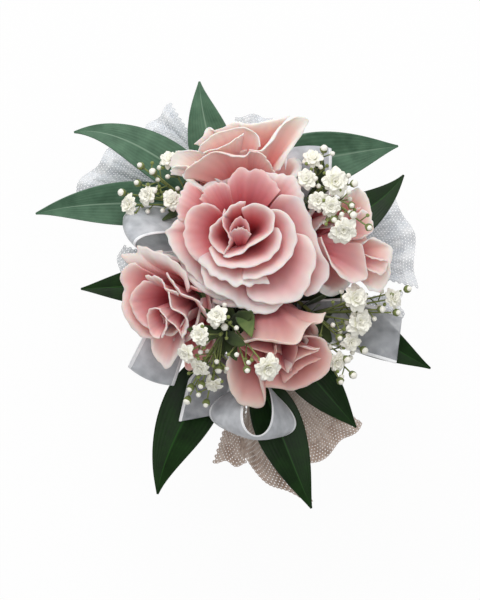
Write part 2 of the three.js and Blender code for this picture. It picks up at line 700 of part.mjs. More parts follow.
function ribbonTail(item, grow) {
  const axis = axisPoints(item.foot, item.heading, [item.rise + 8, item.rise - 14], item.curve, item.length);
  const half = (s) => (RIBBON_WIDTH / 2) * Math.min(1, 0.3 + 1.6 * s);
  const flat = strip(axis, half, item.tilt, 0);
  const surface = (u, v) => {
    const point = flat(u, v * (1 - item.slant * (u + 1)));
    return point.addScaledVector(UP, 0.9 * Math.sin(7 * v));
  };
  const tail = sheet(surface, 2, 8, RIBBON_THICKNESS, grow);
  const start = axis.getPointAt(0.08);
  const bend = vector(item.foot);
  const points = [start, bend, anchor(item.bound, bend)];
  const wire = stem(points, RIBBON_STEM_RADIUS + grow, RIBBON_STEM_RADIUS + grow, 5, 3);
  return join([tail, wire]);
}

// Tulle

function tullePuff(item, grow) {
  const below = heading(item.heading, -GATHER_DROP).add(new THREE.Vector3(0, 0, BUNDLE_HEIGHT));
  const foot = anchor(item.bound, below);
  const waves = (2 * item.length * Math.sin(radians(item.spread))) / TULLE_WAVE;
  const surface = (u, v) => {
    const way = heading(item.heading + u * item.spread * (0.3 + 0.7 * v), -TULLE_FALL);
    const reach = item.length * v * (1 + item.slant * u + 0.02 * Math.cos(5 * u + item.heading));
    const point = foot.clone().addScaledVector(way, reach);
    point.addScaledVector(heading(item.heading + 90, 0), GATHER_HALF * u * (1 - v));
    const ruffle = TULLE_RUFFLE * Math.sin(waves * Math.PI * u + item.heading);
    return point.addScaledVector(UP, ruffle * Math.max(0, v));
  };
  return sheet(surface, Math.ceil(4 * waves), 2, TULLE_THICKNESS, grow);
}

// Gypsophila

function ringAt(centre, facing, radii) {
  const spin = new THREE.Quaternion().setFromUnitVectors(UP, facing);
  return radii.map((r, i) => {
    const angle = (2 * Math.PI * i) / radii.length;
    const point = new THREE.Vector3(r * Math.cos(angle), r * Math.sin(angle), 0);
    return point.applyQuaternion(spin).add(centre);
  });
}

// A branch that ends in a head: each level is its crest radius, its dip radius and its height
function headOnBranch(from, tip, levels, sides, size, grow) {
  const way = tip.clone().sub(from).normalize();
  const facing = way.clone().addScaledVector(UP, 0.6).normalize();
  const thin = Array(sides).fill(BRANCH_RADIUS + grow);
  const rings = levels.map(([crest, dip, rise]) => {
    const radii = thin.map((_, i) => (i % 2 === 0 ? crest : dip) * size + grow);
    return ringAt(tip.clone().addScaledVector(facing, rise * size), facing, radii);
  });
  return loft([ringAt(from, way, thin), ...rings]);
}

const FLOWER_LEVELS = [[0.14, 0.14, -0.8], [1, 0.72, 0.05], [0.6, 0.42, 0.6]];
const BUD_LEVELS = [[0.27, 0.27, -1.1], [1, 1, 0], [0.45, 0.45, 0.9]];

function sprig(item, grow) {
  const fork = vector(item.fork);
  const start = anchor(item.bound, fork);
  const knee = start.clone().lerp(fork, 0.5).addScaledVector(UP, -1.5);
  const main = new THREE.CatmullRomCurve3([start, knee, fork]);
  const solids = [stem(main.points, SPRIG_STEM_RADIUS + grow, SPRIG_STEM_RADIUS + grow, 4, 4)];
  const heads = [
    ...item.full.map((tip) => [tip, FLOWER_LEVELS, 8, FULL_FLOWER_RADIUS]),
    ...item.flowers.map((tip) => [tip, FLOWER_LEVELS, 6, FLOWER_RADIUS]),
    ...item.buds.map((tip) => [tip, BUD_LEVELS, 4, BUD_RADIUS]),
  ];
  heads.forEach(([tip, levels, sides, size], k) => {
    const from = main.getPoint(0.99 - (BRANCH_SPREAD * k) / heads.length);
    solids.push(headOnBranch(from, vector(tip), levels, sides, size, grow));
  });
  return join(solids);
}

// Assembly, from the wrist outwards
place("elastic_band_upper", "elastic", (grow) => bandHalf(1, grow));
place("elastic_band_lower", "elastic", (grow) => bandHalf(-1, grow));
place("clasp", "clasp", clasp);
place("stem_bundle", "tape", bundle);
const roses = ROSES.map(faceAway);
for (const rose of roses) {
  place(`rose_${rose.name}_bloom`, "petal", () => bloom(rose), (grow) => bloomRoom(rose, grow));
}
for (const rose of roses) {
  place(`rose_${rose.name}_calyx`, "green", (grow) => calyx(rose, grow));
  place(`rose_${rose.name}_stem`, "tape", (grow) => roseStem(rose, grow));
}
LEAVES.forEach((item, k) => {
  const size = [LEAF_LENGTHS[k], LEAF_WIDTHS[k]];
  place(
    `ruscus_leaf_${k + 1}`, "leaf",
    (grow) => leaf(item, ...size, grow), (grow) => leafRoom(item, ...size, grow),
  );
});
for (const item of RIBBON_LOOPS) {
  place(`ribbon_loop_${item.name}`, "ribbon", (grow) => ribbonLoop(item, grow));
}
for (const item of RIBBON_TAILS) {
  place(`ribbon_tail_${item.name}`, "ribbon", (grow) => ribbonTail(item, grow));
}
TULLE_PUFFS.forEach((item, k) => place(`tulle_puff_${k + 1}`, "tulle", (grow) => tullePuff(item, grow)));
SPRIGS.forEach((item, k) => place(`gypsophila_sprig_${k + 1}`, "gypsophila", (grow) => sprig(item, grow)));

export default corsage;
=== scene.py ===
"""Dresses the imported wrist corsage: roses, ruscus, gypsophila, ribbon, tulle, bundle and elastic band.

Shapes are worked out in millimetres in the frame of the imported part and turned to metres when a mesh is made.
+Z points away from the wrist, +Y runs along the forearm.
"""

import logging
import math
from collections.abc import Mapping, Sequence
from dataclasses import dataclass, field
from enum import Enum

import bpy
import numpy as np
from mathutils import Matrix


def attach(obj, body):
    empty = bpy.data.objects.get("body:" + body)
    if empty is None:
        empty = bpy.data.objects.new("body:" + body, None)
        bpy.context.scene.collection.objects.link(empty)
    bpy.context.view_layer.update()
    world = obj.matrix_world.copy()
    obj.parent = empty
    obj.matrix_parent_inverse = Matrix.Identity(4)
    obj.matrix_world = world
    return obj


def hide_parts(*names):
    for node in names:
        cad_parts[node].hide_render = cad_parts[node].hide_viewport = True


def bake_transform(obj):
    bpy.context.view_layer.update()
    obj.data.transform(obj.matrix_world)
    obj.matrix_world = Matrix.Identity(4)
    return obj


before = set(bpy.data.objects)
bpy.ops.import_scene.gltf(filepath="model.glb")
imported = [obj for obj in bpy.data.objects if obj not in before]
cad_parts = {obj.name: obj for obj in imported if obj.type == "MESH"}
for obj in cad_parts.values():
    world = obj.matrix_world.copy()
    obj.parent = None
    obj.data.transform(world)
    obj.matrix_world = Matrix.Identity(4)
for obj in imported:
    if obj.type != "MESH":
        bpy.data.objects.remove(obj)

log = logging.getLogger("corsage")

MM = 0.001
SPRAY = "spray"
UP = np.array((0.0, 0.0, 1.0))

# A way that no stem runs along, so that every stem has a side to it
NEARLY_UP = UP + 0.01

# How finely curves are stepped before they are sampled
SPAN_STEPS = 12
BEND_STEPS = 64
TINY = 1e-9

Point = tuple[float, float, float]
Tree = bpy.types.NodeTree
Socket = bpy.types.NodeSocket

# Bundle of taped stems and the clearance at which a stem leaves it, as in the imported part
BUNDLE_HALF = 27.0
BUNDLE_RADIUS = 5.4
BUNDLE_END_RADIUS = 3.6
BUNDLE_TAPER = 5
BUNDLE_HEIGHT = 8.75
TAPE_RIDGE = 0.25
FIT_GAP = 0.3


# Helpers for shapes


def linear(hex_colour: str) -> tuple[float, float, float, float]:
    """Turns an sRGB colour into linear light.

    Args:
        hex_colour: six hex digits, red first.

    Returns:
        Red, green, blue and an alpha of 1, linear.
    """
    parts = [int(hex_colour[k:k + 2], 16) / 255 for k in (0, 2, 4)]
    bent = [c / 12.92 if c <= 0.04045 else ((c + 0.055) / 1.055) ** 2.4 for c in parts]
    return (*bent, 1.0)


def unit(vectors: np.ndarray) -> np.ndarray:
    """Vectors of length 1, along the last axis."""
    return vectors / np.maximum(np.linalg.norm(vectors, axis=-1, keepdims=True), TINY)


def heading(compass: float, rise: float) -> np.ndarray:
    """A way over the ground, from a compass angle and a rise in degrees."""
    a, e = math.radians(compass), math.radians(rise)
    return np.array((math.cos(a) * math.cos(e), math.sin(a) * math.cos(e), math.sin(e)))


def turned(vector: np.ndarray, about: np.ndarray, degrees: float) -> np.ndarray:
    """Turns a vector about an axis.

    Args:
        vector: the vector.
        about: the axis, of length 1.
        degrees: how far.

    Returns:
        The turned vector.
    """
    a = math.radians(degrees)
    flat = np.cross(about, vector)
    return vector * math.cos(a) + flat * math.sin(a) + about * (about @ vector) * (1 - math.cos(a))


def ring_angles(sides: int) -> np.ndarray:
    """Angles of the points round a ring, in radians."""
    return np.arange(sides) * 2 * np.pi / sides


def around(angle: np.ndarray, a: np.ndarray, b: np.ndarray) -> np.ndarray:
    """Points of a circle of radius 1 in the plane of two directions."""
    return np.cos(angle)[..., None] * a + np.sin(angle)[..., None] * b


def lattice(rows: int, columns: int) -> tuple[np.ndarray, np.ndarray]:
    """Places over a sheet: 0 to 1 up it, as a column, and -1 to 1 over its width, as a row."""
    return np.linspace(0, 1, rows)[:, None], np.linspace(-1, 1, columns)[None, :]


def ripple(places: np.ndarray, index: float | np.ndarray, *waves: Point) -> np.ndarray:
    """A sum of waves, each given as its height, its pace and how far the index shifts it."""
    return sum(height * np.sin(pace * places + shift * index) for height, pace, shift in waves)


def wobble(shape: Sequence[float], *numbers: float) -> float:
    """A small difference between numbered pieces, from its height and how far each number shifts it."""
    height, *shifts = shape
    return height * math.sin(sum(shift * number for shift, number in zip(shifts, numbers)))


def blade_width(v: np.ndarray, shape: Point) -> np.ndarray:
    """Width of a blade from foot to tip: the start and span of a part of half a wave, and its power."""
    start, span, power = shape
    return np.sin(np.pi * (start + span * v)) ** power


def run_along(points: np.ndarray) -> np.ndarray:
    """Length along a line of points, from 0 at its first."""
    return np.concatenate([[0], np.cumsum(np.linalg.norm(np.diff(points, axis=0), axis=1))])


def sampled(where: np.ndarray, run: np.ndarray, rows: np.ndarray) -> np.ndarray:
    """Rows of numbers along a run, read off at other places of it."""
    return np.stack([np.interp(where, run, column) for column in rows.T], axis=-1)


def smooth_curve(points: Sequence[Point], count: int) -> np.ndarray:
    """Samples a smooth curve through points, evenly along it.

    Args:
        points: at least two points.
        count: how many samples.

    Returns:
        An array of count points.
    """
    p = np.array(points, float)
    ends = np.vstack([2 * p[0] - p[1], p, 2 * p[-1] - p[-2]])
    t = np.linspace(0, 1, SPAN_STEPS, endpoint=False)[:, None]
    pieces = []
    for a, b, c, d in zip(ends, ends[1:], ends[2:], ends[3:]):
        pieces.append(0.5 * (2 * b + (c - a) * t + (2 * a - 5 * b + 4 * c - d) * t**2
                             + (3 * b - a - 3 * c + d) * t**3))
    fine = np.vstack([*pieces, p[-1:]])
    run = run_along(fine)
    return sampled(np.linspace(0, run[-1], count), run, fine)


def bent_line(foot: Point, compass: float, curve: float, rises: tuple[float, float], length: float,
              count: int) -> np.ndarray:
    """Samples a line that bends as it goes, most of all at its end.

    Args:
        foot: where it starts.
        compass: its way over the ground at the start, in degrees.
        curve: how far it has turned at the end, in degrees.
        rises: its slopes at the start and at the end, in degrees.
        length: its length.
        count: how many samples.

    Returns:
        An array of count points.
    """
    points = [np.array(foot, float)]
    for k in range(BEND_STEPS):
        s = (k + 0.5) / BEND_STEPS
        way = heading(compass + curve * s**3, rises[0] + (rises[1] - rises[0]) * s)
        points.append(points[-1] + way * length / BEND_STEPS)
    return smooth_curve(points, count)


def banked(line: np.ndarray, roll: float) -> tuple[np.ndarray, np.ndarray]:
    """The ways along a line and across it.

    Args:
        line: n by 3.
        roll: how far the second is rolled about the first, in degrees.

    Returns:
        Both ways at each point of the line.
    """
    along = unit(np.gradient(line, axis=0))
    level = unit(np.cross(UP, along))
    return along, np.array([turned(a, b, roll) for a, b in zip(level, along)])


def swept(v: np.ndarray, claw: np.ndarray | float, wall: np.ndarray | float, shoulder: np.ndarray | float,
          lip: np.ndarray | float) -> np.ndarray:
    """Places on the curve of a petal's wall, v from 0 at the claw to 1 at the lip."""
    return (1 - v) ** 3 * claw + 3 * (1 - v) ** 2 * v * wall + 3 * (1 - v) * v**2 * shoulder + v**3 * lip


def bundle_radius(along: float | np.ndarray) -> float | np.ndarray:
    """Radius of the bundle at a place along it."""
    share = np.minimum(1, np.abs(along) / BUNDLE_HALF) ** BUNDLE_TAPER
    return BUNDLE_RADIUS + (BUNDLE_END_RADIUS - BUNDLE_RADIUS) * share


def anchor(along: float, point: np.ndarray) -> np.ndarray:
    """The place on the bundle from which a stem leaves for a point.

    Args:
        along: place along the bundle; past its end means the end face.
        point: where the stem goes first.

    Returns:
        A point just clear of the tape.
    """
    if abs(along) > BUNDLE_HALF:
        x = float(np.clip(point[0], -BUNDLE_END_RADIUS / 2, BUNDLE_END_RADIUS / 2))
        return np.array((x, math.copysign(BUNDLE_HALF + FIT_GAP, along), BUNDLE_HEIGHT))
    out = unit(np.array((point[0], 0.0, point[2] - BUNDLE_HEIGHT)))
    reach = bundle_radius(abs(along)) + TAPE_RIDGE + FIT_GAP
    return np.array((0.0, along, BUNDLE_HEIGHT)) + out * reach


@dataclass
class Draft:
    """Collects surfaces in millimetres and makes one mesh object of them.

    Each point carries three numbers for its material: depth (0 at the foot, 1 at the lip),
    across (-1 to 1 over the width) and tone (a lighter or darker shift). On cloth the first
    two are millimetres along it and over it.
    """

    name: str
    points: list[np.ndarray] = field(default_factory=list)
    faces: list[tuple[int, ...]] = field(default_factory=list)
    slots: list[int] = field(default_factory=list)
    marks: list[np.ndarray] = field(default_factory=list)
    count: int = 0

    def add(self, points: np.ndarray, faces: Sequence[tuple[int, ...]], marks: np.ndarray,
            slot: int | Sequence[int] = 0) -> None:
        """Adds a surface.

        Args:
            points: n by 3.
            faces: indices into points.
            marks: n by 3, depth, across and tone.
            slot: material of the surface, or of each face.
        """
        self.points.append(points)
        self.marks.append(marks)
        self.faces.extend(tuple(k + self.count for k in f) for f in faces)
        self.slots.extend([slot] * len(faces) if isinstance(slot, int) else slot)
        self.count += len(points)

    def grid(self, points: np.ndarray, depth: np.ndarray, across: np.ndarray, tone: float = 0.0,
             slot: int | Sequence[int] = 0) -> None:
        """Adds an open sheet.

        Args:
            points: rows by columns by 3.
            depth: one number a row.
            across: one number a column.
            tone: shift of the colour.
            slot: material of the sheet, or of each column of faces.
        """
        rows, columns = points.shape[:2]
        faces = [(j * columns + i, j * columns + i + 1, (j + 1) * columns + i + 1, (j + 1) * columns + i)
                 for j in range(rows - 1) for i in range(columns - 1)]
        marks = np.stack([np.repeat(depth, columns), np.tile(across, rows),
                          np.full(rows * columns, tone)], axis=1)
        each = slot if isinstance(slot, int) else list(slot) * (rows - 1)
        self.add(points.reshape(-1, 3), faces, marks, each)

    def loft(self, rings: np.ndarray, depth: np.ndarray, tone: float = 0.0, slot: int = 0) -> None:
        """Adds a closed solid through rings of points.

        Args:
            rings: levels by sides by 3.
            depth: one number a level.
            tone: shift of the colour.
            slot: material.
        """
        levels, sides = rings.shape[:2]
        points = np.vstack([rings.reshape(-1, 3), rings[0].mean(0), rings[-1].mean(0)])
        first, last = levels * sides, levels * sides + 1
        faces: list[tuple[int, ...]] = []
        for i in range(sides):
            n = (i + 1) % sides
            faces += [(k * sides + i, k * sides + n, (k + 1) * sides + n, (k + 1) * sides + i)
                      for k in range(levels - 1)]
            faces += [(first, n, i), (last, (levels - 1) * sides + i, (levels - 1) * sides + n)]
        turn = np.cos(ring_angles(sides))
        marks = np.stack([np.repeat(depth, sides), np.tile(turn, levels), np.full(first, tone)], axis=1)
        marks = np.vstack([marks, (depth[0], 0, tone), (depth[-1], 0, tone)])
        self.add(points, faces, marks, slot)

    def tube(self, path: np.ndarray, radius: float | np.ndarray, sides: int = 8, tone: float = 0.0) -> None:
        """Adds a round stem along a path.

        Args:
            path: n by 3.
            radius: one number, or one a point.
            sides: facets round it.
            tone: shift of the colour.
        """
        along = unit(np.gradient(path, axis=0))
        side = unit(np.cross(along[0], NEARLY_UP))
        angle = ring_angles(sides)
        size = np.broadcast_to(radius, len(path))
        rings = []
        for k in range(len(path)):
            side = unit(side - along[k] * (side @ along[k]))
            rings.append(path[k] + around(angle, side, np.cross(along[k], side)) * size[k])
        self.loft(np.array(rings), np.linspace(0, 1, len(path)), tone)

    def build(self, materials: Sequence[bpy.types.Material], thickness: float = 0.0,
              subdivide: int = 0) -> bpy.types.Object:
        """Makes the object.

        Args:
            materials: in the order of the slots.
            thickness: of a sheet, in millimetres; 0 leaves a closed solid as it is.
            subdivide: levels of smoothing.

        Returns:
            The new object, linked to the scene.
        """
        mesh = bpy.data.meshes.new(self.name)
        mesh.from_pydata((np.vstack(self.points) * MM).tolist(), [], self.faces)
        marks = np.vstack(self.marks).astype(np.float32)
        for k, name in enumerate(("depth", "across", "tone")):
            layer = mesh.attributes.new(name, "FLOAT", "POINT")
            layer.data.foreach_set("value", np.ascontiguousarray(marks[:, k]))
        for material in materials:
            mesh.materials.append(material)
        mesh.polygons.foreach_set("material_index", self.slots)
        mesh.polygons.foreach_set("use_smooth", [True] * len(mesh.polygons))
        mesh.update()
        piece = bpy.data.objects.new(self.name, mesh)
        bpy.context.scene.collection.objects.link(piece)
        if subdivide:
            smooth = piece.modifiers.new("smooth", "SUBSURF")
            smooth.levels = smooth.render_levels = subdivide
        if thickness:
            solid = piece.modifiers.new("thickness", "SOLIDIFY")
            solid.thickness = thickness * MM
            solid.offset = 0
        return piece


def settle(piece: bpy.types.Object, body: str, slot: str, *nodes: str) -> None:
    """Ties a piece to the frame.

    Args:
        piece: the object.
        body: the body that it rides on.
        slot: the record's material slot; not used.
        nodes: the CAD nodes that it stands for.
    """
    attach(piece, body)
    if nodes:
        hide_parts(*nodes)
    log.info("%s: %d faces on %s", piece.name, len(piece.data.polygons), body)


# Finishes


def feed(tree: Tree, node: bpy.types.Node, inputs: Mapping[int | str, object]) -> None:
    """Sets a node's sockets.

    Args:
        tree: where the node is.
        node: the node.
        inputs: by socket, a value, another node's output, or another node for its first output.
    """
    for socket, value in inputs.items():
        source = value.outputs[0] if isinstance(value, bpy.types.Node) else value
        if isinstance(source, Socket):
            tree.links.new(source, node.inputs[socket])
        else:
            node.inputs[socket].default_value = source


def add(tree: Tree, kind: str, settings: Mapping[str, object] | None = None,
        inputs: Mapping[int | str, object] | None = None,
        stops: Sequence[tuple[float, str]] = ()) -> bpy.types.Node:
    """Adds a node.

    Args:
        tree: where it goes.
        kind: Blender's name of the node.
        settings: the node's own properties.
        inputs: what its sockets are fed.
        stops: places from 0 to 1 and sRGB colours, where the node has colours along a number.

    Returns:
        The node.
    """
    node = tree.nodes.new(kind)
    for name, value in (settings or {}).items():
        setattr(node, name, value)
    while stops and len(node.color_ramp.elements) < len(stops):
        node.color_ramp.elements.new(0.5)
    for k, (place, colour) in enumerate(stops):
        node.color_ramp.elements[k].position = place
        node.color_ramp.elements[k].color = linear(colour)
    feed(tree, node, inputs or {})
    return node


def new_material(name: str, **sockets: object) -> tuple[Tree, bpy.types.Node]:
    """Starts a material.

    Args:
        name: its name.
        sockets: constants for the shader's own sockets, with _ for a space.

    Returns:
        Its node tree and its shader.
    """
    material = bpy.data.materials.new(name)
    material.use_nodes = True
    tree = material.node_tree
    shader = tree.nodes["Principled BSDF"]
    feed(tree, shader, {socket.replace("_", " "): value for socket, value in sockets.items()})
    return tree, shader


def bars(tree: Tree, name: str, pace: float) -> bpy.types.Node:
    """Draws fine bars, as a wave from -1 to 1.

    Args:
        tree: where they go.
        name: the number that they cross: depth or across.
        pace: radians for 1 of that number.

    Returns:
        The node that gives the wave.
    """
    carried = add(tree, "ShaderNodeAttribute", {"attribute_name": name}).outputs["Fac"]
    turn = add(tree, "ShaderNodeMath", {"operation": "MULTIPLY"}, {0: carried, 1: pace})
    return add(tree, "ShaderNodeMath", {"operation": "SINE"}, {0: turn})


def grown(tree: Tree, cloud: bpy.types.Node, swing: float) -> bpy.types.Node:
    """How far a point is from foot to lip, shifted by its tone and by clouds.

    Args:
        tree: where it goes.
        cloud: the node that gives the clouds, 0 to 1.
        swing: how far they shift it in all.

    Returns:
        The node that gives the number.
    """
    depth = add(tree, "ShaderNodeAttribute", {"attribute_name": "depth"}).outputs["Fac"]
    tone = add(tree, "ShaderNodeAttribute", {"attribute_name": "tone"}).outputs["Fac"]
    drift = add(tree, "ShaderNodeMath", {"operation": "MULTIPLY_ADD"}, {0: cloud, 1: swing, 2: -swing / 2})
    lit = add(tree, "ShaderNodeMath", {"operation": "ADD"}, {0: depth, 1: tone})
    return add(tree, "ShaderNodeMath", {"operation": "ADD"}, {0: lit, 1: drift})


@dataclass(frozen=True)
class RosePetal:
    """Fresh rose petal, grown: velvet cells scatter light, so it is soft, with a deep claw and a pale lip. The
    deep claw is partly the petal's own colour and partly painted shade in the crevices, and the pale lip partly
    its own colour and partly a painted highlight.
    """

    name: str
    claw: str
    heart: str
    face: str
    lip: str
    vein_pace: float = 26.0
    cloud_mm: float = 7.0
    cell_mm: float = 0.35

    PLACES = (0.22, 0.5, 0.76, 1.0)
    DRIFT = 0.16
    VEIN_TINT = 0.015
    VEIN_RELIEF = 0.6
    RELIEF = 0.18
    RELIEF_MM = 0.1

    def material(self) -> bpy.types.Material:
        """Builds the material.

        Returns:
            The material.
        """
        tree, shader = new_material(
            self.name, Roughness=0.5, IOR=1.4, Specular_IOR_Level=0.3, Subsurface_Weight=0.3,
            Subsurface_Scale=0.005, Sheen_Weight=0.1, Sheen_Roughness=0.4)
        place = add(tree, "ShaderNodeTexCoord").outputs["Object"]
        cloud = add(tree, "ShaderNodeTexNoise", None,
                    {"Vector": place, "Scale": 1 / (self.cloud_mm * MM), "Detail": 3.0})
        # From deep claw to pale lip: partly the petal's own colour, partly painted shade in the crevices and a
        # painted highlight along the lip.
        stops = tuple(zip(self.PLACES, (self.claw, self.heart, self.face, self.lip)))
        skin = add(tree, "ShaderNodeValToRGB", None, {"Fac": grown(tree, cloud, self.DRIFT)}, stops)
        vein = bars(tree, "across", self.vein_pace)
        faint = add(tree, "ShaderNodeMath", {"operation": "MULTIPLY_ADD"},
                    {0: vein, 1: self.VEIN_TINT, 2: 1 - self.VEIN_TINT})
        tinted = add(tree, "ShaderNodeMix", {"data_type": "RGBA", "blend_type": "MULTIPLY"},
                     {"Factor": 1.0, 6: skin, 7: faint})
        cells = add(tree, "ShaderNodeTexNoise", None,
                    {"Vector": place, "Scale": 1 / (self.cell_mm * MM), "Detail": 2.0})
        relief = add(tree, "ShaderNodeMath", {"operation": "MULTIPLY_ADD"},
                     {0: vein, 1: self.VEIN_RELIEF, 2: cells})
        bump = add(tree, "ShaderNodeBump", None,
                   {"Strength": self.RELIEF, "Distance": self.RELIEF_MM * MM, "Height": relief})
        feed(tree, shader, {"Base Color": tinted.outputs[2], "Normal": bump})
        return bpy.data.materials[self.name]


@dataclass(frozen=True)
class WaxyLeaf:
    """Ruscus blade, waxed by the plant itself: parallel veins, a pale keel and a broad soft gloss."""

    name: str
    shade: str
    blade: str
    keel: str
    roughness: float
    gloss: float
    vein_pace: float = 40.0
    cloud_mm: float = 5.0

    PLACES = (0.15, 0.8)
    VEIN_TINT = 0.05
    KEEL_FADE = {"From Min": 0.015, "From Max": 0.06, "To Min": 0.7, "To Max": 0.0}
    WAX_SWING = 0.2
    RELIEF = 0.15
    RELIEF_MM = 0.08

    def material(self) -> bpy.types.Material:
        """Builds the material.

        Returns:
            The material.
        """
        tree, shader = new_material(self.name, IOR=1.45, Specular_IOR_Level=self.gloss)
        across = add(tree, "ShaderNodeAttribute", {"attribute_name": "across"}).outputs["Fac"]
        place = add(tree, "ShaderNodeTexCoord").outputs["Object"]
        cloud = add(tree, "ShaderNodeTexNoise", None,
                    {"Vector": place, "Scale": 1 / (self.cloud_mm * MM), "Detail": 4.0})
        vein = bars(tree, "across", self.vein_pace)
        level = add(tree, "ShaderNodeMath", {"operation": "MULTIPLY_ADD"},
                    {0: vein, 1: self.VEIN_TINT, 2: cloud})
        stops = tuple(zip(self.PLACES, (self.shade, self.blade)))
        skin = add(tree, "ShaderNodeValToRGB", None, {"Fac": level}, stops)
        middle = add(tree, "ShaderNodeMath", {"operation": "ABSOLUTE"}, {0: across})
        keel = add(tree, "ShaderNodeMapRange", None, {"Value": middle, **self.KEEL_FADE})
        mixed = add(tree, "ShaderNodeMix", {"data_type": "RGBA"},
                    {"Factor": keel, 6: skin, 7: linear(self.keel)})
        wax = add(tree, "ShaderNodeMath", {"operation": "MULTIPLY_ADD"},
                  {0: cloud, 1: self.WAX_SWING, 2: self.roughness - self.WAX_SWING / 2})
        bump = add(tree, "ShaderNodeBump", None,
                   {"Strength": self.RELIEF, "Distance": self.RELIEF_MM * MM, "Height": vein})
        feed(tree, shader, {"Base Color": mixed.outputs[2], "Roughness": wax, "Normal": bump})
        return bpy.data.materials[self.name]


@dataclass(frozen=True)
class PlainTissue:
    """Matte plant tissue or crepe: two tones that run from foot to tip, mottled at the size of its cells."""

    name: str
    foot: str
    tip: str
    mottle_mm: float
    roughness: float = 0.65

    PLACES = (0.15, 0.75)
    DRIFT = 0.4
    RELIEF = 0.25
    RELIEF_MM = 0.1

    def material(self) -> bpy.types.Material:
        """Builds the material.

        Returns:
            The material.
        """
        tree, shader = new_material(self.name, Roughness=self.roughness, IOR=1.4, Sheen_Weight=0.15)
        place = add(tree, "ShaderNodeTexCoord").outputs["Object"]
        cloud = add(tree, "ShaderNodeTexNoise", None,
                    {"Vector": place, "Scale": 1 / (self.mottle_mm * MM), "Detail": 3.0})
        stops = tuple(zip(self.PLACES, (self.foot, self.tip)))
        skin = add(tree, "ShaderNodeValToRGB", None, {"Fac": grown(tree, cloud, self.DRIFT)}, stops)
        bump = add(tree, "ShaderNodeBump", None,
                   {"Strength": self.RELIEF, "Distance": self.RELIEF_MM * MM, "Height": cloud})
        feed(tree, shader, {"Base Color": skin, "Normal": bump})
        return bpy.data.materials[self.name]


@dataclass(frozen=True)
class WovenCloth:
    """Woven synthetic cloth: crossing threads that catch the light as fine bars, and a sheen along a fold.

    The thread is drawn coarser than a real one, because a real one is finer than a pixel.
    """

    name: str
    dark: str
    light: str
    thread_mm: float
    roughness: float
    alpha: float = 1.0
    relief: float = 0.3
    cloud_mm: float = 4.0

    PLACES = (0.25, 0.7)
    THREAD_TINT = 0.08
    RELIEF_MM = 0.1

    def material(self) -> bpy.types.Material:
        """Builds the material.

        Returns:
            The material.
        """
        tree, shader = new_material(self.name, Roughness=self.roughness, IOR=1.5, Alpha=self.alpha,
                                    Sheen_Weight=0.3, Sheen_Roughness=0.3)
        pace = 2 * math.pi / self.thread_mm
        crossing = add(tree, "ShaderNodeMath", {"operation": "MULTIPLY"},
                       {0: bars(tree, "depth", pace), 1: bars(tree, "across", pace)})
        place = add(tree, "ShaderNodeTexCoord").outputs["Object"]
        cloud = add(tree, "ShaderNodeTexNoise", None,
                    {"Vector": place, "Scale": 1 / (self.cloud_mm * MM), "Detail": 3.0})
        level = add(tree, "ShaderNodeMath", {"operation": "MULTIPLY_ADD"},
                    {0: crossing, 1: self.THREAD_TINT, 2: cloud})
        stops = tuple(zip(self.PLACES, (self.dark, self.light)))
        skin = add(tree, "ShaderNodeValToRGB", None, {"Fac": level}, stops)
        bump = add(tree, "ShaderNodeBump", None,
                   {"Strength": self.relief, "Distance": self.RELIEF_MM * MM, "Height": crossing})
        feed(tree, shader, {"Base Color": skin, "Normal": bump})
        return bpy.data.materials[self.name]


@dataclass(frozen=True)
class BrushedSteel:
    """Bright steel strip, rolled and stamped: fine scratches along the rolling way stretch reflections."""

    name: str = "steel_strip_rolled"
    colour: str = "c9cbce"
    scratch_mm: float = 0.25

    STRETCH = (1.0, 0.06, 1.0)
    GLOSS = {"To Min": 0.22, "To Max": 0.45}
    RELIEF = 0.12
    RELIEF_MM = 0.03

    def material(self) -> bpy.types.Material:
        """Builds the material.

        Returns:
            The material.
        """
        tree, shader = new_material(self.name, Metallic=1.0, Base_Color=linear(self.colour))
        place = add(tree, "ShaderNodeTexCoord").outputs["Object"]
        drawn = add(tree, "ShaderNodeMapping", None, {"Vector": place, "Scale": self.STRETCH})
        scratch = add(tree, "ShaderNodeTexNoise", None,
                      {"Vector": drawn, "Scale": 1 / (self.scratch_mm * MM), "Detail": 2.0})
        rough = add(tree, "ShaderNodeMapRange", None, {"Value": scratch, **self.GLOSS})
        bump = add(tree, "ShaderNodeBump", None,
                   {"Strength": self.RELIEF, "Distance": self.RELIEF_MM * MM, "Height": scratch})
        feed(tree, shader, {"Roughness": rough, "Normal": bump})
        return bpy.data.materials[self.name]


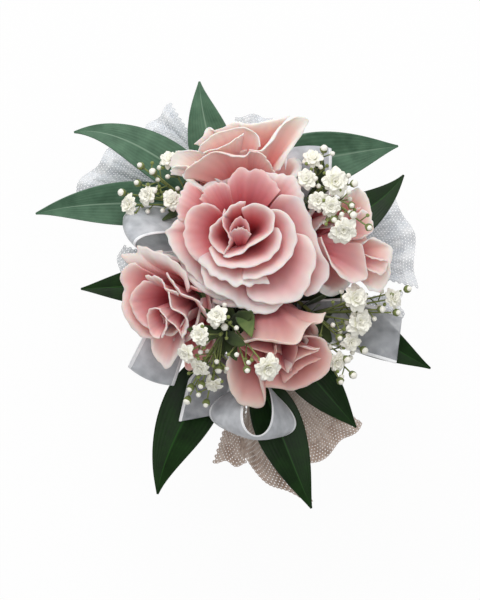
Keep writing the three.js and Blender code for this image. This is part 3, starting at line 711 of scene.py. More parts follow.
class Stuff(Enum):
    """The finishes of the corsage."""

    BLUSH = RosePetal("rose_petal_blush", "b8434f", "dc7d82", "eeb0b0", "fbe6e2")
    PALE = RosePetal("rose_petal_pale", "e98483", "f3a9a4", "f8cdc6", "fef3ec")
    DUSK = RosePetal("rose_petal_dusk", "b14a55", "d6868a", "ecb6b4", "f9e1dc")
    SHADED = RosePetal("rose_petal_shaded", "96434a", "c27b7b", "dca59f", "f2d3ca")
    PEACH = RosePetal("rose_petal_peach", "d4737a", "eaa3a4", "f5c9c4", "fdece6")
    # The ruscus blade in two copies: a lighter one for the upper leaves, which the light falls on, and a
    # near-black one for the lower leaves, in shade; painted light and shade.
    SAGE = WaxyLeaf("ruscus_blade_sage", "35543f", "5d8066", "86a08a", 0.45, 0.3)
    DEEP = WaxyLeaf("ruscus_blade_deep", "081904", "17380d", "26521b", 0.38, 0.2)
    SEPAL = PlainTissue("rose_sepal_green", "3d5526", "7d8c4a", 1.5)
    # The stalk is dark olive: partly the stems' own colour, partly painted shade for stems deep among the
    # blooms.
    STALK = PlainTissue("gypsophila_stalk", "3f4a24", "84904e", 1.2)
    # The gypsophila leaves are near black: painted shade, which darkens the gaps among the blooms.
    FROND = PlainTissue("gypsophila_leaf", "1d2a10", "3d4d22", 1.2)
    BLOSSOM = PlainTissue("gypsophila_petal", "d2d5a8", "fbf9ee", 1.0, 0.6)
    TAPE = PlainTissue("florist_tape_crepe", "3c5330", "5f7d4a", 0.8, 0.7)
    ORGANZA = WovenCloth("ribbon_organza_woven", "b4b7bd", "e0e3e8", 0.6, 0.36, 0.7, 0.1)
    # The tails' organza is thinner than the loops' and darker too; the darker colour is painted shade for the
    # tails, which lie in shadow.
    SHEER = WovenCloth("ribbon_organza_single", "94979d", "c9ccd1", 0.6, 0.36, 0.6, 0.1)
    SATIN = WovenCloth("ribbon_satin_edge", "dfe1e5", "fafbfc", 0.6, 0.3, 1.0, 0.1)
    TULLE_WHITE = WovenCloth("tulle_net_white", "e4e9f0", "fafbfd", 0.6, 0.7, 0.55, 0.1)
    # A darker, warmer copy of the white net for the puffs at the bottom, which lie in shade: painted shade.
    TULLE_SAND = WovenCloth("tulle_net_sand", "c8af9f", "e5d2c5", 0.6, 0.75, 0.95, 0.1)
    ELASTIC = WovenCloth("elastic_band_woven", "d9d6cf", "f4f2ee", 0.9, 0.8, 1.0, 0.5)
    STEEL = BrushedSteel()


def dressed(stuff: Stuff) -> bpy.types.Material:
    """The material of a finish, made the first time that it is asked for."""
    found = bpy.data.materials.get(stuff.value.name)
    return found or stuff.value.material()


def dress_node(name: str, stuff: Stuff) -> None:
    """Gives a CAD node its finish.

    Args:
        name: the node's name.
        stuff: the finish.
    """
    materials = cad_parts[name].data.materials
    materials.clear()
    materials.append(dressed(stuff))


# Roses


@dataclass(frozen=True)
class Petal:
    """One petal: the line of its lip as it lies, and the point of the rose that it grows from.

    belly is how far the wall swells away from the rose's axis, roll how far the lip turns out,
    wave how far the lip ruffles, tone a lighter or darker shift, partly the petal's own tone and partly painted
    light and shade, darker for petals deep in the rose or turned from the light; all sizes in millimetres.
    """

    foot: Point
    lip: tuple[Point, ...]
    belly: float = 2.0
    roll: float = 0.8
    wave: float = 0.2
    tone: float = 0.0

    ROWS = 15
    COLUMNS = 41
    CLAW_SHARE = 0.12
    WALL_SHARE = 0.4
    ONE_WAY = 0.6
    LIP_BAND = 5.0
    LIP_CREST = 1.5
    RUFFLES = ((1.0, 4.3, 1.7), (0.6, 9.1, 2.9))
    CREASE = (0.16, 6.5, 1.0)
    NICKS = (1.0, 15.0, 2.3)
    NICK_GROUPS = (1.0, 4.1, 1.0)
    FINE_NICKS = (0.5, 26.0, 1.1)
    NICK_DEPTH = 0.16
    NICK_SHARE = 0.7
    SHADE = (0.05, 2.4)

    def draw(self, draft: Draft, axis: np.ndarray, index: int) -> None:
        """Adds the petal to a bloom: a wall that swells from the claw, climbs to a crest and rolls out.

        Args:
            draft: the bloom.
            axis: the way that the rose faces.
            index: the petal's number, which shifts its ruffles.
        """
        foot = np.array(self.foot, float)
        lip = smooth_curve(self.lip, self.COLUMNS)
        claw = foot + self.CLAW_SHARE * (lip - lip.mean(0))
        reach = lip - foot
        out = reach - np.outer(reach @ axis, axis)
        out = unit(unit(out) + self.ONE_WAY * unit(out.mean(0)))
        shoulder = lip - out * self.LIP_BAND * self.roll + axis * self.LIP_CREST * self.roll
        wall = claw + 2 * self.belly * out + np.outer(self.WALL_SHARE * ((shoulder - claw) @ axis), axis)
        v = np.linspace(0, 1, self.ROWS)[:, None, None]
        u = np.linspace(-1, 1, self.COLUMNS)
        ruffle = ripple(u, index, *self.RUFFLES)[None, :, None]
        crease = ripple(u, index, self.CREASE)[None, :, None] * np.sin(np.pi * v)
        nicks = ripple(u, index, self.NICKS) * ripple(u, index, self.NICK_GROUPS)
        nicks = nicks + ripple(u, index, self.FINE_NICKS)
        edge = (self.NICK_DEPTH + self.NICK_SHARE * self.wave) * v**5 * nicks[None, :, None]
        points = swept(v, claw, wall, shoulder, lip)
        points = points + out * (crease + edge) + axis * (self.wave * v**3 * ruffle)
        # The tone lightens or darkens the whole petal: partly its own tone, partly painted light and shade.
        draft.grid(points, v[:, 0, 0], u, self.tone + wobble(self.SHADE, index))


@dataclass
class Rose:
    """A rose: a rolled heart, petals laid lip by lip, guard petals beneath them, and its sepals."""

    name: str
    foot: Point
    facing: Point
    radius: float
    height: float
    crowd: float
    stuff: Stuff
    heart: Point
    heart_radius: float
    heart_depth: float
    petals: tuple[Petal, ...]
    guard_share: float = 0.8
    guard_turn: float = 0.0
    heart_lean: Point = (0.0, 0.0, 0.0)
    stray_sepal: tuple[Point, ...] = ()

    MIDDLE = (-1.0, 9.0, 64.0)
    ASIDE = (0.3, 0.1, 0.0)
    PETAL_THICKNESS = 0.42

    # The rolled heart: rows and columns, turns, and how it narrows, sinks and frills
    HEART_GRID = (12, 110)
    HEART_TURNS = 1.6
    HEART_EYE = 0.06
    HEART_FOOT = 1.05
    HEART_CLOSE = 0.2
    HEART_SINK = 0.9
    HEART_FRILL = (0.25, 11.0, 0.0)
    HEART_MARK = 0.75
    HEART_TONE = -0.02

    # Guard petals: their wall as shares of the rose's radius and height, and how a neighbour presses them
    GUARDS = 5
    GUARD_GRID = (14, 25)
    GUARD_CLAW = (0.24, 0.05)
    GUARD_WALL = (0.9, 0.15)
    GUARD_SHOULDER = (0.72, 0.98)
    CREST_DROP = 0.34
    RIM_DROP = 0.47
    GUARD_HALF = 48.0
    GUARD_BASE = 0.75
    GUARD_WIDEST = 0.7
    PRESS_POWER = 1.5
    SINK_SHARE = 0.95
    GUARD_RUFFLE = (0.012, 5.0, 2.0)
    GUARD_LEAN = 0.03
    GUARD_DIP = 0.1
    GUARD_MARK = 0.95
    GUARD_TONE = 0.03
    INNER_GUARDS = (0.76, 0.54)
    INNER_TURN = 2.0
    HANG = -0.15

    # The cup: its neck, then shares of the rose's radius and of the cup's own depth
    CALYX_SIDES = 20
    CALYX_DEPTH = 6.0
    CALYX_NECK = 2.1
    CALYX_PROFILE = ((0.13, -0.72), (0.16, -0.4), (0.13, -0.08), (0.1, -0.05))
    CALYX_MARKS = (0.0, 0.5)

    # Sepals on the cup, and one that has come up over the petals
    SEPALS = 5
    SEPAL_ROWS = 14
    SEPAL_SIDES = 8
    SEPAL_HALF = 2.1
    SEPAL_TIP = 0.15
    SEPAL_SHAPE = (0.13, 0.85, 1.2)
    SEPAL_DROP = 1.6
    SEPAL_BOW = (2.2, 2.2, 0.0)
    SEPAL_MARKS = (0.2, 1.0)
    SEPAL_FOOT = 0.11
    SEPAL_REACH = 8.0
    SEPAL_THICK = 0.3
    SEPAL_CUP = 0.25
    STRAY_SIDES = 10
    STRAY_HALF = 2.9
    STRAY_TIP = 0.1
    STRAY_SHAPE = (0.16, 0.83, 1.0)
    STRAY_MARKS = (0.1, 0.6)
    STRAY_THICK = 0.25
    STRAY_FOLD = 0.35
    STRAY_TONE = -0.1

    def axes(self) -> tuple[np.ndarray, np.ndarray, np.ndarray]:
        """Finds how the rose stands.

        Returns:
            Two directions across it and the way that it faces.
        """
        axis = unit(np.array(self.facing, float))
        side = unit(np.cross(UP + np.array(self.ASIDE), axis))
        return side, np.cross(axis, side), axis

    def spun(self, radius: np.ndarray, angle: np.ndarray, rise: np.ndarray, at: Point) -> np.ndarray:
        """Points at a radius, angle and rise about the rose's axis through a point."""
        a, b, axis = self.axes()
        return np.array(at, float) + radius[..., None] * around(angle, a, b) + rise[..., None] * axis

    def draw_heart(self, draft: Draft) -> None:
        """Adds the rolled petals in the middle, which lean away from the side that is seen.

        Args:
            draft: the bloom.
        """
        rows, columns = self.HEART_GRID
        v = np.linspace(0, 1, rows)[:, None]
        s = np.linspace(0, 1, columns)[None, :]
        angle = s * self.HEART_TURNS * 2 * np.pi + math.radians(self.guard_turn) + 0 * v
        coil = self.HEART_EYE + (1 - self.HEART_EYE) * s
        radius = self.heart_radius * coil * (self.HEART_FOOT - self.HEART_CLOSE * v)
        frill = ripple(s, 0, self.HEART_FRILL) * v**3
        rise = self.heart_depth * (v - 1) - self.HEART_SINK * (1 - s) * v + frill
        lean = (v - 1)[..., None] * np.array(self.heart_lean)
        points = self.spun(radius, angle, rise, self.heart) + lean
        draft.grid(points, v[:, 0] * self.HEART_MARK, 2 * s[0] - 1, self.HEART_TONE)

    def draw_guards(self, draft: Draft) -> None:
        """Adds the outer petals that close the bloom below, and inner ones where a bowed rose is hollow.

        Args:
            draft: the bloom.
        """
        a, b, _ = self.axes()
        for k in range(self.GUARDS):
            turn = math.radians(self.guard_turn + 360 * k / self.GUARDS)
            self.draw_guard(draft, turn, 1.0, k)
            hangs = (math.cos(turn) * a + math.sin(turn) * b) @ UP < self.HANG
            if self.crowd and hangs:
                for t in self.INNER_GUARDS:
                    self.draw_guard(draft, turn + self.INNER_TURN * t, t, k)

    def draw_guard(self, draft: Draft, turn: float, t: float, index: int) -> None:
        """Adds one guard petal, pressed in and down where the next rose crowds it.

        Args:
            draft: the bloom.
            turn: its place round the rose.
            t: 1 for an outer petal, less for one farther in, which stands taller.
            index: its number, which shifts its ruffles.
        """
        a, b, axis = self.axes()
        inward = np.array(self.MIDDLE) - np.array(self.foot)
        inward = unit(inward - axis * (inward @ axis))
        v, u = lattice(*self.GUARD_GRID)
        radius, height = self.radius * self.guard_share, self.height * self.guard_share
        out = radius * swept(v, self.GUARD_CLAW[0], self.GUARD_WALL[0] * t, self.GUARD_SHOULDER[0] * t, t)
        crest, rim = self.GUARD_SHOULDER[1] - self.CREST_DROP * t**2, 1 - self.RIM_DROP * t**2
        up = height * swept(v, self.GUARD_CLAW[1], self.GUARD_WALL[1], crest, rim)
        opened = np.sin(np.minimum(1, v / self.GUARD_WIDEST) * np.pi / 2)
        width = self.GUARD_BASE + (1 - self.GUARD_BASE) * opened
        angle = turn + u * math.radians(self.GUARD_HALF) * width
        facing = np.cos(angle) * (a @ inward) + np.sin(angle) * (b @ inward)
        towards = np.maximum(0, facing) ** self.PRESS_POWER
        pressed = 1 - self.crowd * v * towards
        sunk = 1 - self.SINK_SHARE * self.crowd * v * towards
        ruffle = radius * ripple(u, index, self.GUARD_RUFFLE) * v**3
        layered = 1 - self.GUARD_LEAN * u * v
        rise = up * sunk * (1 - self.GUARD_DIP * u**2 * v)
        points = self.spun(out * pressed * layered + ruffle, angle, rise, self.foot)
        draft.grid(points, v[:, 0] * self.GUARD_MARK, u[0], self.GUARD_TONE * index)

    def build_bloom(self) -> None:
        """Builds the petals as one piece."""
        draft = Draft(f"{self.name}_rose_petals")
        axis = self.axes()[2]
        for index, petal in enumerate(self.petals):
            petal.draw(draft, axis, index)
        self.draw_heart(draft)
        self.draw_guards(draft)
        piece = draft.build([dressed(self.stuff)], self.PETAL_THICKNESS, 1)
        settle(piece, SPRAY, "rose_petal", f"rose_{self.name}_bloom")

    def build_calyx(self) -> None:
        """Builds the green cup and its sepals."""
        draft = Draft(f"{self.name}_rose_sepals")
        sides, depth = self.CALYX_SIDES, self.CALYX_DEPTH
        angle = ring_angles(sides)
        cup = [(r * self.radius, h * depth) for r, h in self.CALYX_PROFILE]
        levels = [(self.CALYX_NECK, -depth), *cup]
        rings = [self.spun(np.full(sides, r), angle, np.full(sides, h), self.foot) for r, h in levels]
        draft.loft(np.array(rings), np.linspace(*self.CALYX_MARKS, len(levels)))
        for k in range(self.SEPALS):
            self.draw_sepal(draft, 2 * math.pi * k / self.SEPALS + math.radians(self.guard_turn))
        if self.stray_sepal:
            self.draw_stray(draft)
        piece = draft.build([dressed(Stuff.SEPAL)])
        settle(piece, SPRAY, "rose_green", f"rose_{self.name}_calyx")

    def draw_sepal(self, draft: Draft, angle: float) -> None:
        """Adds one sepal, a closed lens section that tapers to a point.

        Args:
            draft: the calyx.
            angle: its place round the cup.
        """
        rows = self.SEPAL_ROWS
        v = np.linspace(0, 1, rows)
        half = self.SEPAL_TIP + self.SEPAL_HALF * blade_width(v, self.SEPAL_SHAPE)
        radius = self.radius * self.SEPAL_FOOT + self.SEPAL_REACH * v
        rise = -self.SEPAL_DROP - ripple(v, 0, self.SEPAL_BOW)
        middle = self.spun(radius, np.full(rows, angle), rise, self.foot)
        a, b, axis = self.axes()
        side = -math.sin(angle) * a + math.cos(angle) * b
        turn = ring_angles(self.SEPAL_SIDES)
        flat = np.outer(np.cos(turn), side)[None] * half[:, None, None]
        thick = np.outer(np.sin(turn), axis)[None] * self.SEPAL_THICK
        cup = (np.cos(turn) ** 2)[None, :, None] * half[:, None, None] * self.SEPAL_CUP * axis
        draft.loft(middle[:, None, :] + flat + thick + cup, np.linspace(*self.SEPAL_MARKS, rows))

    def draw_stray(self, draft: Draft) -> None:
        """Adds the sepal that has come up over the petals, a thin closed blade.

        Args:
            draft: the calyx.
        """
        rows = self.SEPAL_ROWS
        line = smooth_curve(self.stray_sepal, rows)
        along, side = banked(line, 0.0)
        turn = ring_angles(self.STRAY_SIDES)
        half = self.STRAY_TIP + self.STRAY_HALF * blade_width(np.linspace(0, 1, rows), self.STRAY_SHAPE)
        flat = half[:, None, None] * np.cos(turn)[None, :, None] * side[:, None]
        thick = self.STRAY_THICK * np.sin(turn)[None, :, None] * np.cross(along, side)[:, None]
        fold = self.STRAY_FOLD * (half[:, None] * np.abs(np.cos(turn)))[..., None] * UP
        marks = np.linspace(*self.STRAY_MARKS, rows)
        draft.loft(line[:, None] + flat + thick + fold, marks, self.STRAY_TONE)

    def build(self) -> None:
        """Builds the whole rose and dresses its stem."""
        self.build_bloom()
        self.build_calyx()
        dress_node(f"rose_{self.name}_stem", Stuff.TAPE)


def centre_rose() -> Rose:
    """The open rose in the middle, seen straight into its heart.

    Returns:
        The rose.
    """
    petals = (
        Petal((-2.8, 6.5, 37), ((-6.4, 12.2, 48.5), (-5, 13.4, 49.6), (-3, 13.8, 50), (-1.2, 13.2, 49.8),
                                (0.2, 11.8, 48.8)), 0.3, 0.15, 0.05, -0.1),
        Petal((-3.4, 8.5, 36), ((-6.8, 11.6, 48.5), (-5.6, 15.4, 50), (-2.9, 17.3, 50.6), (-0.7, 15.3, 50),
                                (0.2, 11.6, 48.5)), 1.2, 0.3, 0.1, -0.22),
        Petal((-4, 10, 35), ((-8.2, 20, 47.5), (-8.8, 15.3, 49.3), (-6.6, 10.1, 49), (-8.2, 5.7, 46.4)),
              0.8, 0.3, 0.1, -0.05),
        Petal((0, 12, 33), ((-2.7, 20, 48), (1.7, 21.7, 49), (6.5, 19.7, 49.4), (7.9, 15.8, 49.4),
                            (6.7, 12.1, 49), (3.9, 10.1, 48.6), (0, 7.7, 48), (-1.8, 6.1, 47.5),
                            (-6, 4.6, 47), (-8.6, 4.6, 46)), 1.2, 0.4, 0.1),
        Petal((-5, 12, 32), ((-1.4, 22.4, 47), (-5.3, 21.5, 48), (-7.9, 18.6, 48.4), (-12.5, 13.8, 48.3),
                             (-13, 10.1, 47.8), (-11.5, 7.9, 47.3), (-8.6, 5, 46.6)), 1.6, 0.4, 0.15),
        Petal((-2, 10, 31), ((-13.2, 7.2, 45), (-11.5, 3.5, 46), (-8.8, 1.5, 46.4), (-3.1, 1, 46.5),
                             (2.4, 2, 46.5), (6.7, 4.2, 46.5), (9.6, 8.5, 46.5), (10.2, 11.2, 46.4),
                             (9, 13.8, 45.5)), 2.6, 0.7, 0.15, 0.04),
        Petal((0, 11, 30), ((5.9, 19.7, 45), (10.1, 19.3, 46), (13.5, 16, 46.3), (14.8, 12.3, 46.3),
                            (14.3, 7.9, 45.8), (12.7, 4.1, 45.6), (9.4, 0.9, 45.5), (3.5, -2, 45),
                            (-2.3, -2.6, 44.5)), 3, 0.6, 0.2),
        Petal((-4, 11, 30), ((-11, 20.6, 45.3), (-14.1, 21.6, 46), (-17.8, 20.8, 46), (-20.3, 17.8, 45.4),
                             (-20.9, 13.8, 44.8), (-20.7, 8.7, 44.2), (-18.9, 5.3, 43.8), (-16.5, 3.5, 43.4)),
              2.6, 0.6, 0.25),
        Petal((-3, 10, 29), ((-16.7, 3.9, 43), (-15.2, 1.9, 43.4), (-12.3, -1.1, 43.8), (-8.2, -2.9, 43.8),
                             (-4.9, -4.9, 43.8), (-2.9, -4.2, 43.8), (0.6, -5, 43.6), (2.4, -3.5, 43.5),
                             (6.5, -4.2, 43)), 3.4, 0.9, 0.4, 0.06),
        Petal((0, 9, 28), ((15.1, 12, 42.4), (18.6, 10.9, 43), (20.8, 6.4, 43.2), (20.4, 0.6, 42.8),
                           (18, -5.5, 42), (15.3, -9, 41.6), (10.9, -10.2, 41.4), (2.4, -9.7, 41),
                           (-0.7, -7.9, 40.6)), 2.6, 0.8, 0.3),
        Petal((-3, 8, 28), ((-15.8, 2.2, 41), (-14.8, -3.1, 41.2), (-11.5, -6.8, 40.8), (-6, -8.8, 40.6),
                            (-3.1, -11.6, 40), (1.7, -13.2, 39.5), (7.2, -13.2, 39), (10.7, -10.5, 39)),
              3, 1, 0.4, 0.08),
        Petal((1, 10, 27), ((10.1, 24.8, 41), (15.7, 23.3, 41), (19, 18.2, 41), (20.6, 12.3, 40.4),
                            (23.4, 5, 39.6), (25.4, 0.6, 38.8), (22.6, -5.7, 38.2), (17.9, -7.9, 38)),
              2.2, 0.7, 0.3, -0.04),
        Petal((-2, 13, 30), ((-7.1, 27.6, 41.6), (-6.6, 29.6, 41.8), (-3.4, 33.2, 42), (-0.9, 32.2, 42.2),
                             (3.2, 32.5, 42), (7.4, 29, 42), (9.6, 25.7, 42)), 1.8, 0.5, 0.25, -0.1),
        Petal((-4, 13, 30), ((-16.1, 23, 42.4), (-13.4, 27, 42.8), (-9.3, 28.4, 43), (-6.6, 27.2, 43)),
              1.4, 0.4, 0.2, -0.08),
        Petal((1, 13, 29), ((3.2, 32.4, 40), (7.9, 31.1, 40.2), (10.5, 31.1, 40.6), (14.7, 29.6, 40.8),
                            (16.8, 24.5, 40.8), (17.5, 21.1, 40.6)), 1.8, 0.6, 0.3),
        Petal((-5, 13, 29), ((-16.7, 27, 40), (-20.2, 28.3, 40.2), (-22.2, 24.1, 40.6), (-23.3, 19.7, 40.6),
                             (-22.7, 16.4, 40.4)), 1.8, 0.6, 0.3),
        Petal((-4, 10, 28), ((-22.9, 17.1, 40), (-25.3, 14.2, 40.4), (-27, 12.3, 40), (-25.1, 7.9, 39.8),
                             (-23.3, 4.8, 39.4), (-19.8, 0.4, 38.8), (-16.7, -3.1, 38.2), (-13, -6.6, 37.6)),
              2.2, 0.6, 0.25),
    )
    return Rose("centre", (-1, 9, 24), (-0.06, 0.1, 1), 24, 27.5, 0, Stuff.BLUSH, (-3.2, 15.1, 48.4), 2.4, 9,
                petals, 0.9, 20, heart_lean=(0, 2, 0))


def top_rose() -> Rose:
    """The pale rose above the middle one, turned away along the forearm.

    Returns:
        The rose.
    """
    petals = (
        Petal((-2, 24, 30), ((-21, 29.3, 36), (-20.8, 31.9, 38), (-18.9, 33.6, 39.5), (-15.2, 36.3, 41),
                             (-11.8, 37.8, 42), (-7.1, 36.8, 43), (-1.9, 36.3, 43), (0, 38.1, 42)),
              1.6, 0.8, 0.2, -0.1),
        Petal((0, 24, 29), ((-0.4, 38.1, 41.5), (2.8, 37.9, 42), (5.8, 35.1, 41.5), (7.7, 31.9, 39)),
              1.4, 0.4, 0.2, -0.16),
        Petal((-2, 26, 27), ((-16.7, 38.5, 37), (-14.8, 41.1, 38.5), (-8.8, 44.5, 40), (-1.9, 45.8, 40.5),
                             (2.3, 43.5, 40), (3.2, 39.2, 40)), 2.4, 0.6, 0.3, 0.05),
        Petal((-4, 28, 28), ((-14.8, 37.7, 39), (-9.2, 39.6, 40.5), (-4.1, 42.2, 41), (-1.9, 43.9, 40.5)),
              1.4, 0.5, 0.2, 0.05),
        Petal((2, 24, 28), ((-0.2, 38.3, 40), (4.5, 38.7, 41), (7.3, 42.2, 41), (10.9, 46.9, 40),
                            (15.2, 49.3, 38.5), (18.4, 48, 37), (17.4, 44.5, 36.5), (14.6, 40.9, 36),
                            (11.6, 37, 36), (10.1, 32.3, 35)), 1.6, 0.6, 0.3, 0.1),
        Petal((-2, 26, 25), ((-18.2, 41.1, 33), (-14.8, 43.8, 34.5), (-13.3, 46.3, 35), (-12.2, 45, 35.5),
                             (-8.4, 46, 36), (-4.9, 47.3, 36.5), (0.2, 47.3, 37), (6.6, 48.3, 37),
                             (12.8, 49.7, 36.5)), 2.6, 0.6, 0.3, 0.12),
        Petal((-8, 25, 27), ((-25.9, 33.6, 31), (-23.8, 38.2, 32.5), (-19.1, 38.8, 34), (-15.2, 37.7, 36)),
              1, 0.4, 0.3, 0.15),
        Petal((-8, 25, 26), ((-25.3, 31, 30), (-24.7, 33.6, 31.5), (-19.5, 33.4, 34)), 0.8, 0.4, 0.2, 0.2),
    )
    return Rose("top", (-2, 21, 23), (-0.04, 0.87, 0.49), 20, 26, 0.65, Stuff.PALE, (-3, 40, 34.5), 4.5, 12,
                petals, 0.97, 75)


def left_rose() -> Rose:
    """The dusky rose on the left, looking to the side.

    Returns:
        The rose.
    """
    petals = (
        Petal((-18, -7, 25), ((-36.5, 3.3, 38), (-39.7, 1.7, 37), (-41.3, -1.6, 36), (-40.5, -5.7, 35),
                              (-40.8, -10.1, 34.5), (-39.7, -14.4, 34), (-37.2, -18.1, 33.5),
                              (-34.7, -20.7, 33), (-31.5, -21.5, 34)), 3.2, 0.6, 0.3),
        Petal((-20, -8, 27), ((-30.3, -2.6, 39), (-33.7, -3.1, 39.5), (-36.7, -5.3, 39), (-38.1, -9.7, 38),
                              (-36.5, -14.1, 37), (-33.7, -17.5, 36.5), (-31.5, -18.1, 37)),
              2.6, 0.4, 0.2, -0.08),
        Petal((-22, -10, 29), ((-28.3, -11.9, 41), (-31.8, -11.7, 40), (-32.7, -15.1, 39),
                               (-31.5, -20.2, 37.5), (-28.6, -21.3, 38)), 1.4, 0.3, 0.1),
        Petal((-21, -10, 29), ((-28.6, -12, 41.5), (-26.6, -14.8, 42), (-26.6, -18.5, 41),
                               (-28, -21.2, 39.5)), 1, 0.3, 0.1),
        Petal((-19, -7, 28), ((-33.3, -1, 40.5), (-28.6, -2, 42), (-26.3, -5.2, 43), (-22.4, -6.8, 43)),
              1, 0.4, 0.2, 0.06),
        Petal((-17, -7, 27), ((-26.6, -0.1, 42), (-23.9, -4, 43.5), (-21.2, -7, 44), (-16.8, -9, 43),
                              (-14.5, -12.4, 42), (-12.3, -15.6, 40)), 1.2, 0.4, 0.2),
        Petal((-18, -9, 28), ((-25.9, -5.7, 42.5), (-24.6, -11.1, 43.5), (-21.2, -13.5, 43.5),
                              (-19.8, -15.3, 43), (-19.9, -18.5, 41.5), (-21.2, -21.3, 40)),
              1.2, 0.4, 0.2, 0.04),
        Petal((-20, -11, 29), ((-26.3, -15.1, 40.5), (-23.2, -17.8, 41), (-21.1, -21.3, 39.5)),
              0.8, 0.3, 0.1),
        Petal((-16, -4, 26), ((-41.1, 5.4, 34), (-36.2, 6.3, 37), (-35.7, 8.3, 37.5), (-30.3, 6.8, 39.5),
                              (-25.9, 4.9, 40.5), (-21.7, 1.6, 40.5), (-19.7, -3.3, 40), (-19, -4.8, 39.5)),
              2.4, 1.2, 0.3, 0.12),
        Petal((-19, -10, 26), ((-31.8, -21.3, 33), (-30.8, -26.2, 32), (-26.9, -30.8, 31),
                               (-24.6, -29.1, 33), (-20.6, -22.2, 36)), 1.8, 0.4, 0.2, 0.12),
        Petal((-15, -9, 25), ((-21.2, -21.3, 35), (-20.6, -27.2, 33), (-19.7, -31.6, 31),
                              (-12.3, -27.8, 32), (-10.6, -21.2, 34)), 1.8, 0.4, 0.2, -0.12),
        Petal((-14, -6, 25), ((-19.5, -4, 38.5), (-15.8, -6, 38), (-13, -6.8, 36), (-12.1, -11.7, 35),
                              (-12.5, -16.8, 34)), 1.4, 0.4, 0.2, -0.2),
    )
    return Rose("left", (-14, -5, 21), (-0.64, -0.3, 0.7), 18, 27, 0.5, Stuff.DUSK, (-28.6, -15.5, 34.5),
                2.3, 8, petals, 0.95, 10)


def bottom_rose() -> Rose:
    """The shaded rose below the middle one, looking down the forearm.

    Returns:
        The rose.
    """
    petals = (
        Petal((6, -9, 33), ((-5.8, -20.1, 40), (-5.9, -22.9, 42), (-2, -22.2, 43.5), (1.7, -21.4, 44),
                            (7.4, -22, 44), (14.8, -22.5, 43.5), (17.1, -19.6, 43), (17.7, -17.7, 42.5),
                            (20.6, -15.7, 41), (22.6, -16.2, 40), (24.5, -12.9, 38)), 1.4, 0.8, 0.3, 0.1),
        Petal((3, -16, 27), ((-5.2, -23.8, 38), (-7, -27.5, 37), (-7.5, -32.8, 35), (-6.3, -37.7, 33),
                             (-3.2, -41.9, 31.5), (0.1, -43.2, 31), (3.7, -43.3, 31), (4.6, -41.1, 32),
                             (3.1, -35.5, 34), (1.8, -31.5, 35)), 2.4, 0.5, 0.2),
        Petal((5, -16, 29), ((-3.5, -23.8, 39.5), (1.5, -28.1, 39), (3.7, -31.8, 37.5)),
              1, 0.3, 0.1, -0.25),
        Petal((6, -15, 30), ((-1.4, -23.4, 41), (3.1, -25.1, 41), (7.9, -25.9, 41), (8.2, -23.3, 41.5)),
              0.8, 0.3, 0.1, -0.2),
        Petal((7, -15, 29), ((7.9, -23.3, 41), (8.4, -27.5, 40), (12.1, -31.8, 37), (14.3, -28.3, 38.5),
                             (15.3, -23.3, 40.5)), 0.8, 0.3, 0.1, -0.25),
        Petal((8, -16, 26), ((17.6, -20.6, 39), (22.5, -21, 37), (25.8, -25.4, 35.5), (25.8, -29.9, 34),
                             (22.6, -33.6, 33), (18.2, -36.6, 32), (14, -37.9, 31.5), (10, -37.4, 31.5),
                             (4.5, -36.9, 32)), 2.4, 0.5, 0.3),
        Petal((8, -16, 28), ((16.9, -23.4, 40), (20.1, -24.6, 39.5), (22.5, -24.1, 39), (20.1, -25.9, 39),
                             (14.9, -28.1, 38.5), (12.1, -32, 37)), 0.8, 0.4, 0.2, -0.06),
        Petal((8, -17, 27), ((22.6, -27.5, 36.5), (15.6, -31.5, 36), (10.8, -35.5, 34.5)),
              1, 0.4, 0.2, -0.08),
    )
    stray = ((-2.6, -12, 36), (-1.8, -14, 40.5), (-0.6, -17.2, 44), (0.5, -20.8, 45.6))
    return Rose("bottom", (6, -10, 24), (0.12, -0.84, 0.53), 17, 28, 0.5, Stuff.SHADED, (8, -27, 35), 4, 11,
                petals, 0.84, 40, stray_sepal=stray)


def right_rose() -> Rose:
    """The rose on the right, looking to the side.

    Returns:
        The rose.
    """
    petals = (
        Petal((17, 9, 30), ((22.1, 10.9, 39), (24.3, 5.8, 40), (27, 0.4, 40), (31.7, -3.4, 38.5),
                            (34.4, -3.1, 38), (37, -2.6, 37.5), (37.3, 0.1, 38.5), (35.8, 8.4, 40)),
              1.4, 0.5, 0.2, -0.06),
        Petal((22, 7, 27), ((35.1, 8.4, 37), (39.2, 10.8, 37), (44.1, 8.4, 35), (45.2, 6.7, 34.5),
                            (44.6, 3.1, 34.5), (44.9, -0.4, 34), (42.9, -5, 33), (41.2, -6.7, 33),
                            (37.8, -5.5, 34)), 2.2, 0.5, 0.3, 0.06),
        Petal((24, 6, 29), ((37.3, 5, 38), (41.2, 3.5, 37.5), (44.1, 3.1, 36), (42.2, -0.9, 36),
                            (37.3, 0.6, 37)), 0.8, 0.3, 0.2),
        Petal((20, 11, 26), ((29.2, 22.9, 36), (31.2, 25.3, 37), (34.8, 26.5, 37), (37.5, 23.9, 36.5),
                             (38.5, 18.7, 36), (38.3, 14.8, 36)), 2.2, 0.5, 0.2),
        Petal((21, 10, 28), ((32.9, 17.8, 38.5), (35.8, 19.6, 39), (38.3, 17.8, 38.5), (38.8, 12.9, 38),
                             (35.1, 10.9, 38.5)), 1, 0.4, 0.2, 0.02),
        Petal((20, 11, 28), ((29.9, 19.2, 38), (32.4, 19.7, 38.5), (35.3, 20.7, 38)), 0.8, 0.3, 0.1, -0.1),
    )
    return Rose("right", (15, 8, 22), (0.82, 0.05, 0.57), 17, 26, 0.5, Stuff.PEACH, (31, 10, 34), 4, 10,
                petals, 0.95, 0)


# Ruscus


